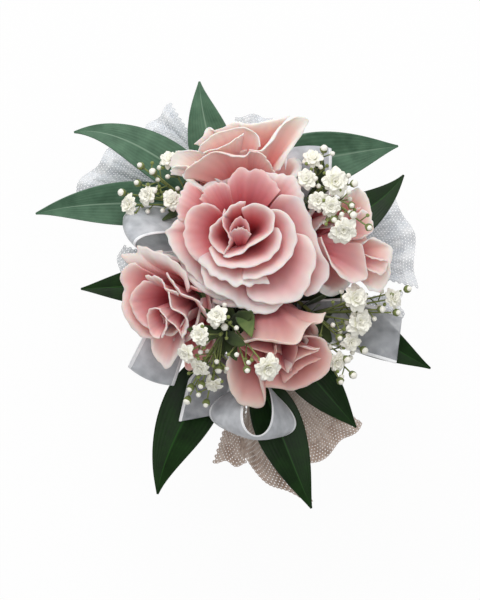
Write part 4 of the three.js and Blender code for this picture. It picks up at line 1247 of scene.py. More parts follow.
@dataclass
class RuscusLeaf:
    """A ruscus blade on its petiole: a keeled, veined blade that narrows to its tip."""

    number: int
    foot: Point
    compass: float
    rise: tuple[float, float]
    curve: float
    roll: float
    bound: float
    length: float
    width: float
    stuff: Stuff

    GRID = (41, 21)
    BELLY = 0.4
    FOOT_POWER = 0.7
    TIP_POWER = 1.2
    TIP = 0.3
    FOLD = 0.18
    RIDGES = 5
    RIDGE = 0.04
    EDGE_WAVE = 0.5
    EDGE_PACE = 7.0
    THICKNESS = 0.45

    # The petiole: its radii, points and facets, the blade's row that it ends at, and its straight foot
    PETIOLE = 0.9
    PETIOLE_TIP = 0.5
    PETIOLE_POINTS = 20
    PETIOLE_SIDES = 10
    PETIOLE_ROW = 5
    PETIOLE_FOOT = 4.0

    def build(self) -> None:
        """Builds the blade with its petiole."""
        rows, columns = self.GRID
        line = bent_line(self.foot, self.compass, self.curve, self.rise, self.length, rows)
        along, side = banked(line, self.roll)
        normal = np.cross(along, side)
        s, u = lattice(rows, columns)
        swell = (s / self.BELLY) ** self.FOOT_POWER * ((1 - s) / (1 - self.BELLY)) ** self.TIP_POWER
        half = self.TIP + self.width / 2 * swell
        arch = np.sin(np.pi * s)
        keel = self.FOLD * np.abs(u) * half
        ridges = self.RIDGE * np.cos(2 * np.pi * self.RIDGES * u) * arch
        edge = self.EDGE_WAVE * np.sin(self.EDGE_PACE * s + self.number) * u**2 * arch
        points = line[:, None] + side[:, None] * (u * half)[..., None]
        points = points + normal[:, None] * (keel + ridges + edge)[..., None]
        draft = Draft(f"ruscus_blade_{self.number}")
        draft.grid(points, s[:, 0], u[0])
        blade = draft.build([dressed(self.stuff)], self.THICKNESS, 1)
        settle(blade, f"leaf_{self.number}", "ruscus_leaf", f"ruscus_leaf_{self.number}")
        bend = line[0] - along[0] * self.PETIOLE_FOOT
        ends = [line[self.PETIOLE_ROW], line[0], bend, anchor(self.bound, bend)]
        stalk = Draft(f"ruscus_petiole_{self.number}")
        radii = np.linspace(self.PETIOLE_TIP, self.PETIOLE, self.PETIOLE_POINTS)
        stalk.tube(smooth_curve(ends, self.PETIOLE_POINTS), radii, self.PETIOLE_SIDES)
        settle(stalk.build([dressed(Stuff.STALK)]), f"leaf_{self.number}", "ruscus_leaf")


def ruscus_leaves() -> list[RuscusLeaf]:
    """The ten leaves round the corsage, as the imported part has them.

    Returns:
        The leaves, by number.
    """
    return [
        # The four upper leaves take the lighter copy of the blade and the six lower ones the near-black copy:
        # painted light and shade.
        RuscusLeaf(1, (-12, 24.5, 12), 144, (12, -8), 45, 14, 21, 51, 14, Stuff.SAGE),
        RuscusLeaf(2, (-19, 22.5, 9), 180, (10, -10), 16, -12, 15, 51, 14, Stuff.SAGE),
        RuscusLeaf(3, (-8.4, 26, 7.8), 106, (6, -6), -14, 0, 25, 37, 14, Stuff.SAGE),
        RuscusLeaf(4, (3, 33, 8.2), 11, (8, -8), -4, 10, 28, 46, 18, Stuff.SAGE),
        RuscusLeaf(5, (12, 6.5, 10), 26, (6, -6), 30, -6, 2.6, 46, 15.5, Stuff.DEEP),
        RuscusLeaf(6, (-9, -3, 9), 183, (8, -6), 0, 0, -2.5, 46, 14, Stuff.DEEP),
        RuscusLeaf(7, (-9, -26, 9.5), 240, (8, -8), 22, 10, -21, 51, 18, Stuff.DEEP),
        RuscusLeaf(8, (3, -34, 9.5), 291, (8, -8), 3, -10, -28, 46, 15.5, Stuff.DEEP),
        RuscusLeaf(9, (10.3, -22.5, 9.5), 311, (8, -10), 0, 0, -17, 37, 14, Stuff.DEEP),
        RuscusLeaf(10, (15, -5, 10), 328, (8, -8), 4, 6, -2.6, 51, 15.5, Stuff.DEEP),
    ]


# Ribbon


@dataclass
class Ribbon:
    """Sheer ribbon with satin edges, in a loop or a cut tail, on its wire."""

    name: str
    foot: Point
    compass: float
    rise: float
    length: float
    tilt: float
    bound: float

    WIDTH = 16.0
    EDGE = 0.86
    THICKNESS = 0.22
    COLUMNS = 17
    CLOTH = Stuff.ORGANZA
    GATHER = 0.3
    LEAST_SHARE = 0.4
    WIRE = 0.9
    WIRE_POINTS = 16
    WIRE_SIDES = 10

    def across(self) -> np.ndarray:
        """Places over the width, whose outermost strips are the satin edges."""
        return np.linspace(-1, 1, self.COLUMNS)

    def finish(self, points: np.ndarray, start: np.ndarray, bend: np.ndarray) -> None:
        """Makes the cloth and its wire.

        Args:
            points: rows by columns by 3.
            start: where the wire holds the cloth.
            bend: where the wire turns to the bundle.
        """
        run = run_along(points[:, self.COLUMNS // 2])
        u = self.across()
        centres = (u[1:] + u[:-1]) / 2
        draft = Draft(f"ribbon_{self.name}")
        draft.grid(points, run, u * self.WIDTH / 2, 0, [int(abs(c) > self.EDGE) for c in centres])
        cloth = draft.build([dressed(self.CLOTH), dressed(Stuff.SATIN)], self.THICKNESS, 1)
        settle(cloth, SPRAY, "sheer_ribbon", f"ribbon_{self.name}")
        wire = Draft(f"ribbon_wire_{self.name}")
        path = smooth_curve([start, bend, anchor(self.bound, bend)], self.WIRE_POINTS)
        wire.tube(path, self.WIRE, self.WIRE_SIDES)
        settle(wire.build([dressed(Stuff.TAPE)]), SPRAY, "florist_tape")


@dataclass
class RibbonLoop(Ribbon):
    """A loop of ribbon, open to one side, gathered at its foot."""

    gap: float = 9.0
    flare: float = 0.0

    ROWS = 61
    SKIP = 0.06
    SWELL_POWER = 0.7
    BOW = 0.05
    REACH = 0.3
    PLEAT = 0.7
    PLEATS = 2.5
    GRIP = 2.5
    WIRE_FOOT = 2.0

    # How far the two walls swing apart in the loop's curve, for a gap of 1
    SWING = 1.54

    def build(self) -> None:
        """Builds the loop."""
        along = heading(self.compass, self.rise)
        width = turned(unit(np.cross(UP, along)), along, self.tilt)
        normal = np.cross(along, width)
        s = (self.SKIP + (1 - 2 * self.SKIP) * np.linspace(0, 1, self.ROWS))[:, None]
        u = self.across()[None, :]
        opened = 1 - self.flare * u
        gather = self.GATHER + (1 - self.GATHER) * np.sin(np.pi * s) ** self.SWELL_POWER
        reach = (1 + self.REACH * self.flare * u) * (1 - self.BOW * u**2)
        out = self.length * (1 - np.cos(2 * np.pi * s)) / 2 * reach
        apart = self.gap / self.SWING * np.sin(2 * np.pi * s) * np.sin(np.pi * s) * opened
        pleat = self.PLEAT * (1 - gather) * np.cos(self.PLEATS * np.pi * u)
        side = u * self.WIDTH**2 / math.hypot(self.WIDTH, self.flare * self.gap) * gather / 2
        foot = np.array(self.foot, float)
        points = foot + out[..., None] * along + (apart + pleat)[..., None] * normal
        points = points + side[..., None] * width
        self.finish(points, foot + along * self.GRIP, foot - along * self.WIRE_FOOT)


@dataclass
class RibbonTail(Ribbon):
    """A cut end of ribbon, its end on the slant."""

    curve: float = 0.0
    slant: float = 0.1

    # The tails take the darker copy of the organza: painted shade.
    CLOTH = Stuff.SHEER
    ROWS = 41
    ARCH = (8.0, -14.0)
    OPENING = 1.6
    BILLOW = (0.9, 7.0, 0.0)
    FLUTTER = (0.25, 5.0, 3.0)
    WIRE_ROW = 3

    def build(self) -> None:
        """Builds the tail."""
        rises = (self.rise + self.ARCH[0], self.rise + self.ARCH[1])
        line = bent_line(self.foot, self.compass, self.curve, rises, self.length, self.ROWS)
        side = banked(line, self.tilt)[1]
        run = np.linspace(0, 1, self.ROWS)
        s = run[:, None]
        u = self.across()[None, :]
        cut = s * (1 - self.slant * (u + 1))
        half = self.WIDTH / 2 * np.minimum(1, self.GATHER + self.OPENING * cut)
        sheet = sampled(cut, run, line) + sampled(cut, run, side) * (u * half)[..., None]
        sheet = sheet + UP * (ripple(s, 0, self.BILLOW) + ripple(u, s, self.FLUTTER))[..., None]
        self.finish(sheet, line[self.WIRE_ROW], np.array(self.foot, float))


def ribbons() -> list[RibbonLoop | RibbonTail]:
    """Four loops and two tails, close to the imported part's.

    Returns:
        The ribbons.
    """
    return [
        RibbonLoop("loop_left", (-12.3, 12.5, 12), 178, 30, 32, 58, 12, 9, 0.15),
        RibbonLoop("loop_right", (19, 17, 15.7), 92, 10, 24, 5, 16),
        RibbonLoop("loop_lower_left", (-22, -9, 14.5), 248, 4, 28, -4, -9, 6),
        RibbonLoop("loop_bottom", (3, -33, 16.4), 264, 30, 24, 84, -21, 19, 0.5),
        RibbonTail("tail_left", (-9.5, -26, 14.7), 256, 8, 25, 6, -19, 2, 0.14),
        RibbonTail("tail_right", (12, -11.6, 17.2), 345, 4, 39, -8, -6, -2, 0.03),
    ]


# Tulle


@dataclass
class TullePuff:
    """A puff of tulle: layers of six-sided net gathered at the bundle and ruffled at the cut edge."""

    number: int
    compass: float
    spread: float
    length: float
    slant: float
    bound: float
    stuff: Stuff

    PITCH = 1.15
    HOLE_SHARE = 0.34
    FIRST_ROW = 0.7
    STEPS_A_MM = 100
    LAYERS = 3
    STEP_BACK = 0.07
    LAYER_SHIFT = 1.9
    LAYER_CALM = 0.3
    THICKNESS = 0.12
    HEM = 0.1
    GATHER = 0.3
    GATHER_HALF = 1.6
    GATHER_DROP = 35.0
    FALL = 12.0
    RUFFLE = 2.2
    WAVE = 9.0
    EDGE_WAVE = 0.02
    EDGE_PACE = 5.0
    CLOTH_SHARE = 0.45

    def width(self) -> float:
        """Width of the cut edge, from corner to corner."""
        return 2 * self.length * math.sin(math.radians(self.spread))

    def surface(self, u: np.ndarray, v: np.ndarray, layer: int) -> np.ndarray:
        """Points of a layer.

        Args:
            u: places over the width, -1 to 1.
            v: places from the foot to the cut edge, 0 to 1.
            layer: its number.

        Returns:
            Points in millimetres.
        """
        low = heading(self.compass, -self.GATHER_DROP) + np.array((0, 0, BUNDLE_HEIGHT))
        foot = anchor(self.bound, low)
        angle = np.radians(self.compass + u * self.spread * (self.GATHER + (1 - self.GATHER) * v))
        fall = math.radians(self.FALL)
        edge = self.EDGE_WAVE * np.cos(self.EDGE_PACE * u + self.compass)
        reach = self.length * v * (1 + self.slant * u + edge)
        way = np.stack([np.cos(angle) * math.cos(fall), np.sin(angle) * math.cos(fall),
                        np.full_like(u, -math.sin(fall))], axis=-1)
        waves = self.width() / self.WAVE
        swing = np.sin(waves * np.pi * u + self.compass + self.LAYER_SHIFT * layer)
        lift = self.RUFFLE * v * swing * (1 - self.LAYER_CALM * layer)
        points = foot + reach[..., None] * way + lift[..., None] * UP
        return points + (self.GATHER_HALF * u * (1 - v))[..., None] * heading(self.compass + 90, 0)

    def draw_layer(self, draft: Draft, layer: int) -> None:
        """Adds one layer of net.

        Args:
            draft: the puff.
            layer: its number.
        """
        width, pitch = self.width(), self.PITCH
        length = self.length * (1 - self.STEP_BACK * layer)
        row = pitch * math.sqrt(3) / 2
        corner = np.radians(60 * np.arange(6) + 30)
        ring = np.stack([np.cos(corner), np.sin(corner)], axis=1) * pitch / math.sqrt(3)
        flat: list[tuple[float, float]] = []
        known: dict[tuple[int, int], int] = {}
        faces: list[tuple[int, ...]] = []

        def point(x: float, y: float) -> int:
            """Finds a flat point, which the cells next to it share.

            Args:
                x: its place over the width.
                y: its place up the length.

            Returns:
                Its index.
            """
            key = (round(x * self.STEPS_A_MM), round(y * self.STEPS_A_MM))
            if key not in known:
                known[key] = len(flat)
                flat.append((x, y))
            return known[key]

        def trim(cell: np.ndarray, hem: float) -> np.ndarray:
            """A cell cut off at the edges of the net, a hem inside them."""
            low, high = (-width / 2 + hem, 0), (width / 2 - hem, length - hem)
            return np.clip(cell, low, high)

        for j in range(int(length / row) + 1):
            for i in range(int(width / pitch) + 1):
                x = i * pitch + (j % 2) * pitch / 2 - width / 2 + pitch / 2
                centre = np.array((x, (j + self.FIRST_ROW) * row))
                if abs(centre[0]) > width / 2 or centre[1] > length:
                    continue
                a = [point(*p) for p in trim(centre + ring, 0)]
                b = [point(*p) for p in trim(centre + ring * self.HOLE_SHARE, self.HEM)]
                faces += [(a[k], a[(k + 1) % 6], b[(k + 1) % 6], b[k]) for k in range(6)]
        cut = np.array(flat)
        points = self.surface(cut[:, 0] / (width / 2), cut[:, 1] / self.length, layer)
        marks = np.stack([cut[:, 1], cut[:, 0], np.zeros(len(cut))], axis=1)
        draft.add(points, faces, marks)

    def build(self) -> None:
        """Builds the puff."""
        draft = Draft(f"tulle_net_{self.number}")
        for layer in range(self.LAYERS):
            self.draw_layer(draft, layer)
        piece = draft.build([dressed(self.stuff)], self.THICKNESS)
        settle(piece, SPRAY, "tulle_net", f"tulle_puff_{self.number}")
        flat = (self.width() * MM, self.length * self.LAYERS * MM)


def tulle_puffs() -> list[TullePuff]:
    """Nine puffs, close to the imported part's.

    Returns:
        The puffs, by number.
    """
    return [
        TullePuff(1, 161, 12, 51, 0.08, 18, Stuff.TULLE_WHITE),
        TullePuff(2, 136, 11, 39, 0, 24, Stuff.TULLE_WHITE),
        TullePuff(3, 88, 14, 27, 0, 25, Stuff.TULLE_WHITE),
        TullePuff(4, 12, 18, 51, 0, 0, Stuff.TULLE_WHITE),
        # Puffs 5, 6 and 7, at the bottom, take the darker copy of the net: painted shade.
        TullePuff(5, 304, 15, 46, -0.02, -20, Stuff.TULLE_SAND),
        TullePuff(6, 277, 15, 45.5, 0.24, -25, Stuff.TULLE_SAND),
        TullePuff(7, 262, 8, 41, 0, -23, Stuff.TULLE_SAND),
        TullePuff(8, 2, 7, 46, 0, -13, Stuff.TULLE_WHITE),
        TullePuff(9, 178, 12, 39, 0, 0, Stuff.TULLE_WHITE),
    ]


# Gypsophila


@dataclass
class Sprig:
    """A sprig of gypsophila: fine branches that end in double flowers and buds."""

    number: int
    bound: float
    fork: Point
    full: tuple[Point, ...]
    flowers: tuple[Point, ...]
    buds: tuple[Point, ...]

    # Stalks: radii, points along them, and how far a stem sags and a branch bows
    STEM = 0.6
    STEM_POINTS = 40
    STEM_SAG = 1.5
    BRANCH = 0.32
    BRANCH_END = 0.8
    BRANCH_POINTS = 16
    BRANCH_TOP = 0.99
    BRANCH_SPREAD = 0.1
    BRANCH_BOW = 0.12
    BRANCH_SIDES = 6
    BRANCH_TONE = 0.15

    # Double flowers: sizes, and each whorl's count of petals, share of the size and lean
    FULL = 5.1
    FLOWER = 3.8
    WHORLS = ((9, 1.0, 84.0), (8, 0.92, 60.0), (7, 0.78, 38.0), (5, 0.6, 17.0))
    PETAL_GRID = (6, 7)
    PETAL_HALF = 0.38
    PETAL_SHAPE = (0.1, 0.72, 1.0)
    PETAL_ROUND = 0.14
    PETAL_CUP = 0.3
    PETAL_FRILL = 0.08
    PETAL_MARKS = (0.25, 1.0)
    PETAL_THICKNESS = 0.16
    WHORL_STEP = 0.37
    FLOWER_TURN = 1.3
    LEAST_GROWN = 0.9
    SUNK = 0.9
    LOOK_UP = 0.6
    ASIDE = (0.2, 1.0, 0.1)

    # How a flower's petals differ: a height, then shifts by the petal's, the whorl's and the flower's number
    TURN_WOBBLE = (0.12, 7.0, 0.0, 3.0)
    SIZE_WOBBLE = (0.13, 4.7, 2.3, 1.9)
    LEAN_WOBBLE = (12.0, 3.1, 1.0, 1.0)
    TONE_WOBBLE = (0.1, 5.0, 0.0, 1.0)

    # Turned heads as radius, rise and colour depth of each ring, the buds' as shares of their size
    BEAD_SIDES = 12
    BEAD_RIBS = 5
    BEAD_RIB = 0.06
    PALER = 0.1
    FLOWER_CUP = ((0.3, -1.1, 0.4), (0.8, -0.4, 0.5), (0.95, 0.4, 0.8), (0.5, 0.7, 0.9))
    BUD = 1.3
    BUD_CUP = ((0.3, -1.2, 0.2), (0.8, -0.7, 0.3), (1.0, 0.0, 0.45), (0.92, 0.35, 0.5), (0.6, 0.4, 0.5))
    BUD_CROWN = ((0.6, 0.15, 0.6), (0.85, 0.5, 0.8), (0.65, 0.95, 1.0), (0.2, 1.2, 1.0))
    CROWN_SIZES = (0.8, 1.1)
    TWIG_BUD = 0.7
    TWIG_BUD_SIZES = (0.9, 1.2)
    TWIG_HEAD = ((0.4, -1.0, 0.2), (1.0, -0.2, 0.5), (0.8, 0.6, 0.8), (0.3, 1.0, 1.0))

    # Side twigs: station along the branch and length; the golden angle turns one from the next
    TWIGS = ((0.45, 5.0), (0.65, 4.4), (0.82, 3.6))
    GOLDEN = 137
    TWIG_TURN = 61
    TWIG_RISE = 20
    TWIG_SHARE = 0.7
    TWIG_SLANT = 0.7
    TWIG_BOW = 0.3
    TWIG_POINTS = 6
    TWIG_SIDES = 5

    # Narrow leaves in pairs along the stem
    LEAF_STATIONS = (0.3, 0.45, 0.6, 0.75, 0.9)
    LEAF_GRID = (8, 5)
    LEAF_LENGTH = 13.0
    LEAF_WIDTH = 4.4
    LEAF_TURN = 47.0
    LEAF_SPRIG_TURN = 40
    LEAF_RISE = 5
    LEAF_SAG = 2.0
    LEAF_FOLD = 0.3
    LEAF_SHAPE = (0.08, 0.9, 0.8)
    LEAF_OUT = 0.75
    LEAF_ALONG = 0.6
    LEAF_WOBBLE = (0.1, 3.0, 1.0)

    def ends(self, way: np.ndarray) -> tuple[np.ndarray, np.ndarray, np.ndarray]:
        """Finds how a head stands.

        Args:
            way: the way of its branch.

        Returns:
            Two directions across it and the way that it faces.
        """
        facing = unit(way + self.LOOK_UP * UP)
        side = unit(np.cross(facing, np.array(self.ASIDE)))
        return side, np.cross(facing, side), facing

    def draw_flower(self, petals: Draft, tip: np.ndarray, way: np.ndarray, size: float, index: int) -> None:
        """Adds a double flower, no two of whose petals are alike.

        Args:
            petals: the white pieces.
            tip: the middle of the flower.
            way: the way of its branch.
            size: its radius.
            index: its number, which turns it.
        """
        a, b, facing = self.ends(way)
        v, u = lattice(*self.PETAL_GRID)
        for ring, (count, share, lean) in enumerate(self.WHORLS):
            for k in range(count):
                which = (k, ring, index)
                turn = 2 * math.pi * (k + self.WHORL_STEP * ring) / count + self.FLOWER_TURN * index
                turn = turn + wobble(self.TURN_WOBBLE, *which)
                out = math.cos(turn) * a + math.sin(turn) * b
                side = np.cross(facing, out)
                length = size * share * (self.LEAST_GROWN + wobble(self.SIZE_WOBBLE, *which))
                tilt = np.radians(lean + wobble(self.LEAN_WOBBLE, *which)) * (1 + v) / 2
                reach = length * v * (1 - self.PETAL_ROUND * u**2 * v)
                half = self.PETAL_HALF * length * blade_width(v, self.PETAL_SHAPE)
                frill = self.PETAL_FRILL * length * v**2 * np.sin(2 * np.pi * u + 2 * k + ring)
                cup = self.PETAL_CUP * u**2 * half + frill
                points = (tip - self.SUNK * facing + (reach * np.sin(tilt))[..., None] * out
                          + (reach * np.cos(tilt) + cup)[..., None] * facing + (u * half)[..., None] * side)
                marks = np.linspace(*self.PETAL_MARKS, len(v))
                petals.grid(points, marks, u[0], wobble(self.TONE_WOBBLE, *which))

    def draw_twigs(self, draft: Draft, path: np.ndarray, index: int) -> None:
        """Adds the short side twigs of a branch, each with a closed bud.

        Args:
            draft: the stalks.
            path: points along the branch.
            index: the branch's number, which turns its twigs.
        """
        for k, (station, length) in enumerate(self.TWIGS):
            at = int(station * (len(path) - 1))
            along = unit(path[at + 1] - path[at - 1])
            odd = (index + k) % 2
            out = heading(self.GOLDEN * (index + 2 * k) + self.TWIG_TURN * self.number, self.TWIG_RISE)
            end = path[at] + length * unit(self.TWIG_SLANT * along + unit(out - along * (out @ along)))
            middle = (path[at] + end) / 2 + self.TWIG_BOW * UP
            twig = smooth_curve([path[at], middle, end], self.TWIG_POINTS)
            draft.tube(twig, self.BRANCH * self.TWIG_SHARE, self.TWIG_SIDES, self.PALER)
            bud = self.TWIG_BUD * self.TWIG_BUD_SIZES[odd]
            levels = [(r * bud, h * bud, d) for r, h, d in self.TWIG_HEAD]
            self.draw_bead(draft, end, unit(end - path[at]), levels, odd, self.PALER)

    def draw_leaves(self, draft: Draft, stem: np.ndarray) -> None:
        """Adds the narrow leaves, in pairs along the stem.

        Args:
            draft: the thin pieces.
            stem: points along the stem.
        """
        v, u = (places.ravel() for places in lattice(*self.LEAF_GRID))
        half = self.LEAF_WIDTH / 2 * blade_width(v, self.LEAF_SHAPE)
        fold = np.outer(half, self.LEAF_FOLD * np.abs(u))
        for k, station in enumerate(self.LEAF_STATIONS):
            at = int(station * (len(stem) - 1))
            along = unit(stem[at + 1] - stem[at - 1])
            for turn in (0, 180):
                compass = self.LEAF_TURN * k + turn + self.LEAF_SPRIG_TURN * self.number
                out = heading(compass, self.LEAF_RISE)
                out = unit(out - along * (out @ along))
                side = np.cross(along, out)
                way = self.LEAF_OUT * out + self.LEAF_ALONG * along
                middle = stem[at] + np.outer(v * self.LEAF_LENGTH, way) - np.outer(self.LEAF_SAG * v**2, UP)
                points = middle[:, None] + np.outer(half, u)[..., None] * side + fold[..., None] * along
                # The leaves' near-black colour is painted shade in the gaps among the blooms.
                draft.grid(points, v, u, wobble(self.LEAF_WOBBLE, k, turn), 1)

    def draw_bead(self, draft: Draft, tip: np.ndarray, way: np.ndarray, levels: Sequence[Point], slot: int,
                  tone: float) -> None:
        """Adds a small turned head, such as a bud or the cup under a flower.

        Args:
            draft: the piece.
            tip: its middle.
            way: the way of its branch.
            levels: radius, rise and colour depth of each ring.
            slot: material.
            tone: shift of the colour.
        """
        a, b, facing = self.ends(way)
        angle = ring_angles(self.BEAD_SIDES)
        ribs = (1 + self.BEAD_RIB * np.cos(self.BEAD_RIBS * angle))[:, None]
        round_it = around(angle, a, b)
        rings = [tip + rise * facing + radius * ribs * round_it for radius, rise, _ in levels]
        draft.loft(np.array(rings), np.array([d for _, _, d in levels]), tone, slot)

    def draw_bud(self, draft: Draft, tip: np.ndarray, way: np.ndarray, index: int) -> None:
        """Adds a bud: a green cup with its white crown.

        Args:
            draft: the stalks.
            tip: its middle.
            way: the way of its branch.
            index: its number; every other crown is larger.
        """
        bud = self.BUD
        white = bud * self.CROWN_SIZES[index % 2]
        cup = [(r * bud, h * bud, d) for r, h, d in self.BUD_CUP]
        crown = [(r * white, h * bud, d) for r, h, d in self.BUD_CROWN]
        self.draw_bead(draft, tip, way, cup, 0, self.PALER / 2)
        self.draw_bead(draft, tip, way, crown, 1, self.PALER)

    def build(self) -> None:
        """Builds the sprig: stalks with buds, and the flowers' petals."""
        fork = np.array(self.fork, float)
        start = anchor(self.bound, fork)
        knee = (start + fork) / 2 - self.STEM_SAG * UP
        main_stem = smooth_curve([start, knee, fork], self.STEM_POINTS)
        stalks = Draft(f"gypsophila_stalks_{self.number}")
        petals = Draft(f"gypsophila_flowers_{self.number}")
        stalks.tube(main_stem, self.STEM)
        heads = [*self.full, *self.flowers, *self.buds]
        blossoms = len(self.full) + len(self.flowers)
        radii = np.linspace(self.BRANCH, self.BRANCH * self.BRANCH_END, self.BRANCH_POINTS - 1)
        for k, head in enumerate(heads):
            tip = np.array(head, float)
            station = self.BRANCH_TOP - self.BRANCH_SPREAD * k / len(heads)
            leave = main_stem[int(station * (self.STEM_POINTS - 1))]
            bow = (leave + tip) / 2 - self.BRANCH_BOW * np.linalg.norm(tip - leave) * UP
            path = smooth_curve([leave, bow, tip], self.BRANCH_POINTS)
            way = unit(path[-1] - path[-3])
            stalks.tube(path[:-1], radii, self.BRANCH_SIDES, self.BRANCH_TONE)
            self.draw_twigs(stalks, path, k)
            if k < blossoms:
                self.draw_flower(petals, tip, way, self.FULL if k < len(self.full) else self.FLOWER, k)
                under = tip - self.SUNK * unit(way + self.LOOK_UP * UP)
                self.draw_bead(stalks, under, way, self.FLOWER_CUP, 0, self.PALER)
            else:
                self.draw_bud(stalks, tip, way, k)
        self.draw_leaves(petals, main_stem)
        node = f"gypsophila_sprig_{self.number}"
        settle(stalks.build([dressed(Stuff.STALK), dressed(Stuff.BLOSSOM)]), SPRAY, "gypsophila", node)
        thin = petals.build([dressed(Stuff.BLOSSOM), dressed(Stuff.FROND)], self.PETAL_THICKNESS, 1)
        settle(thin, SPRAY, "gypsophila", node)


def sprigs() -> list[Sprig]:
    """Six sprigs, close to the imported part's.

    Returns:
        The sprigs, by number.
    """
    return [
        Sprig(1, 12, (-19, 22, 23), (), ((-39, 21.6, 24), (-33, 24.5, 27), (-26, 36, 25), (-25, 23, 30)),
              ((-35, 34, 27), (-41, 25.5, 23), (-36, 28.5, 26), (-31, 32, 26))),
        Sprig(2, 11, (23, 27, 35), ((27, 28.5, 42), (29.5, 13, 47)),
              ((20, 36, 38), (18, 29.5, 42), (25.5, 20.5, 45), (21.5, 22.5, 44)),
              ((37.5, 14, 48), (32.5, 18, 47), (32, 21, 45), (33, 28, 39), (26.5, 16.5, 47), (23.5, 39, 37))),
        Sprig(3, -0.5, (21, -14, 26), ((33.5, -8.5, 35), (35, -16, 32)), ((32.5, -22.5, 29), (46, -8.5, 28)),
              ((50.5, -5.5, 28), (42, -12, 28), (47, -13, 27), (36.5, -25, 26), (28.5, -21, 30))),
        Sprig(4, -14, (-9.5, -20, 41), (),
              ((-16, -20, 46), (-20.5, -26, 41), (-12, -36, 32), (-16, -30.5, 38)),
              ((-19, -37, 31), (-20, -41, 30), (-14, -42, 29), (-10, -31, 34), (-15.5, -36, 34))),
        Sprig(5, -11.5, (-6.5, -16.5, 40), ((5.5, -30.5, 49),), ((-10.5, -14, 46),),
              ((-1, -31, 46), (-8, -17.5, 42))),
        Sprig(6, -16.5, (20.5, -19.5, 21), (), ((28, -29, 26),),
              ((31, -28, 27), (29, -35, 25), (33, -33, 25))),
    ]


# Bundle and band


@dataclass
class TapedBundle:
    """The wired stems, wound in crepe tape from end to end."""

    wraps: int = 13
    lap: float = 0.3

    LEVELS = 221
    SIDES = 36
    LAP_MIDDLE = 0.2
    STEMS = 5
    STEM_SWELL = 0.08
    WRAP_MARK = 0.35
    WRAP_SWING = (0.3, 40.0, 0.0)

    def build(self) -> None:
        """Builds the bundle with the laps of its tape."""
        y = np.linspace(-BUNDLE_HALF, BUNDLE_HALF, self.LEVELS)[:, None]
        angle = ring_angles(self.SIDES)[None, :]
        turn = (self.wraps * (y + BUNDLE_HALF) / (2 * BUNDLE_HALF) + angle / (2 * np.pi)) % 1.0
        swell = self.STEM_SWELL * np.sin(self.STEMS * angle)
        radius = bundle_radius(y) + self.lap * (turn - self.LAP_MIDDLE) + swell
        rings = np.stack([radius * np.cos(angle), y + 0 * angle, BUNDLE_HEIGHT - radius * np.sin(angle)],
                         axis=-1)
        draft = Draft("bundle_tape")
        draft.loft(rings, self.WRAP_MARK + ripple(np.linspace(0, 1, self.LEVELS), 0, self.WRAP_SWING))
        settle(draft.build([dressed(Stuff.TAPE)]), SPRAY, "florist_tape", "stem_bundle")


@dataclass
class ElasticBand:
    """The elastic wristlet, one ribbed loop whose lower half draws away as it stretches."""

    width: float = 58.0
    height: float = 42.0
    corner: float = 18.0
    breadth: float = 25.0
    thickness: float = 1.5
    rib_mm: float = 1.25

    CORNER_STEPS = 24
    RIB_STEPS = 6
    RIB = 0.16
    INNER_RIB = -0.3
    HEM = 0.5
    HEM_ROUND = 0.12
    PICOT = 0.12
    PICOT_STEPS = 9
    STRETCH_HALF = 10.0

    def route(self, count: int) -> tuple[np.ndarray, np.ndarray]:
        """Points on the inner face of the loop and the way out of it, both in the XZ plane.

        Args:
            count: how many points.

        Returns:
            Points and directions, count by 2 each.
        """
        x, z = self.width / 2 - self.corner, self.height / 2 - self.corner
        lines: list[tuple[float, float, float]] = []
        for quarter, (cx, cz) in enumerate(((x, z), (-x, z), (-x, -z), (x, -z))):
            for a in np.linspace(0, math.pi / 2, self.CORNER_STEPS):
                angle = quarter * math.pi / 2 + a
                lines.append((cx + self.corner * math.cos(angle), cz + self.corner * math.sin(angle), angle))
        lines.append((*lines[0][:2], 2 * math.pi))
        p = np.array(lines)
        run = run_along(p[:, :2])
        spots = sampled(np.linspace(0, run[-1], count, endpoint=False), run, p)
        out = np.stack([np.cos(spots[:, 2]), np.sin(spots[:, 2])], axis=1)
        return spots[:, :2] - np.array((0, self.height / 2)), out

    def build(self) -> None:
        """Builds the loop as one piece, in place of the imported band's two halves."""
        perimeter = 2 * (self.width + self.height) - (8 - 2 * math.pi) * self.corner
        count = round(perimeter / self.rib_mm) * self.RIB_STEPS
        at, out = self.route(count)
        steps = np.arange(count) * 2 * np.pi
        rib = self.RIB * (np.cos(steps / self.RIB_STEPS) - 1)
        picot = self.PICOT * np.sin(steps / self.PICOT_STEPS)
        half = self.breadth / 2
        hem = half - self.HEM
        inner = [(self.HEM_ROUND, -half), (0.0, -hem), (0.0, 0.0), (0.0, hem), (self.HEM_ROUND, half)]
        outer = [(1.0, y) for y in (half, hem, half / 2, 0.0, -half / 2, -hem, -half)]
        profile = inner + outer
        rings = []
        for share, y in profile:
            stand = share * self.thickness + (rib if share == 1.0 else self.INNER_RIB * rib)
            edge = picot if abs(y) == half else 0 * rib
            rings.append(np.stack([at[:, 0] + out[:, 0] * stand, y + edge, at[:, 1] + out[:, 1] * stand],
                                  axis=1))
        grid = np.array(rings).transpose(1, 0, 2)
        sides = len(profile)
        faces = [(k * sides + i, k * sides + (i + 1) % sides, (k + 1) % count * sides + (i + 1) % sides,
                  (k + 1) % count * sides + i) for k in range(count) for i in range(sides)]
        run = np.repeat(np.arange(count) * perimeter / count, sides)
        marks = np.stack([run, np.tile([y for _, y in profile], count), np.zeros(count * sides)], axis=1)
        draft = Draft("elastic_band")
        draft.add(grid.reshape(-1, 3), faces, marks)
        piece = draft.build([dressed(Stuff.ELASTIC)])
        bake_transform(piece)
        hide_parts("elastic_band_upper", "elastic_band_lower")
        log.info("%s: %d faces", piece.name, len(piece.data.polygons))


# Studio


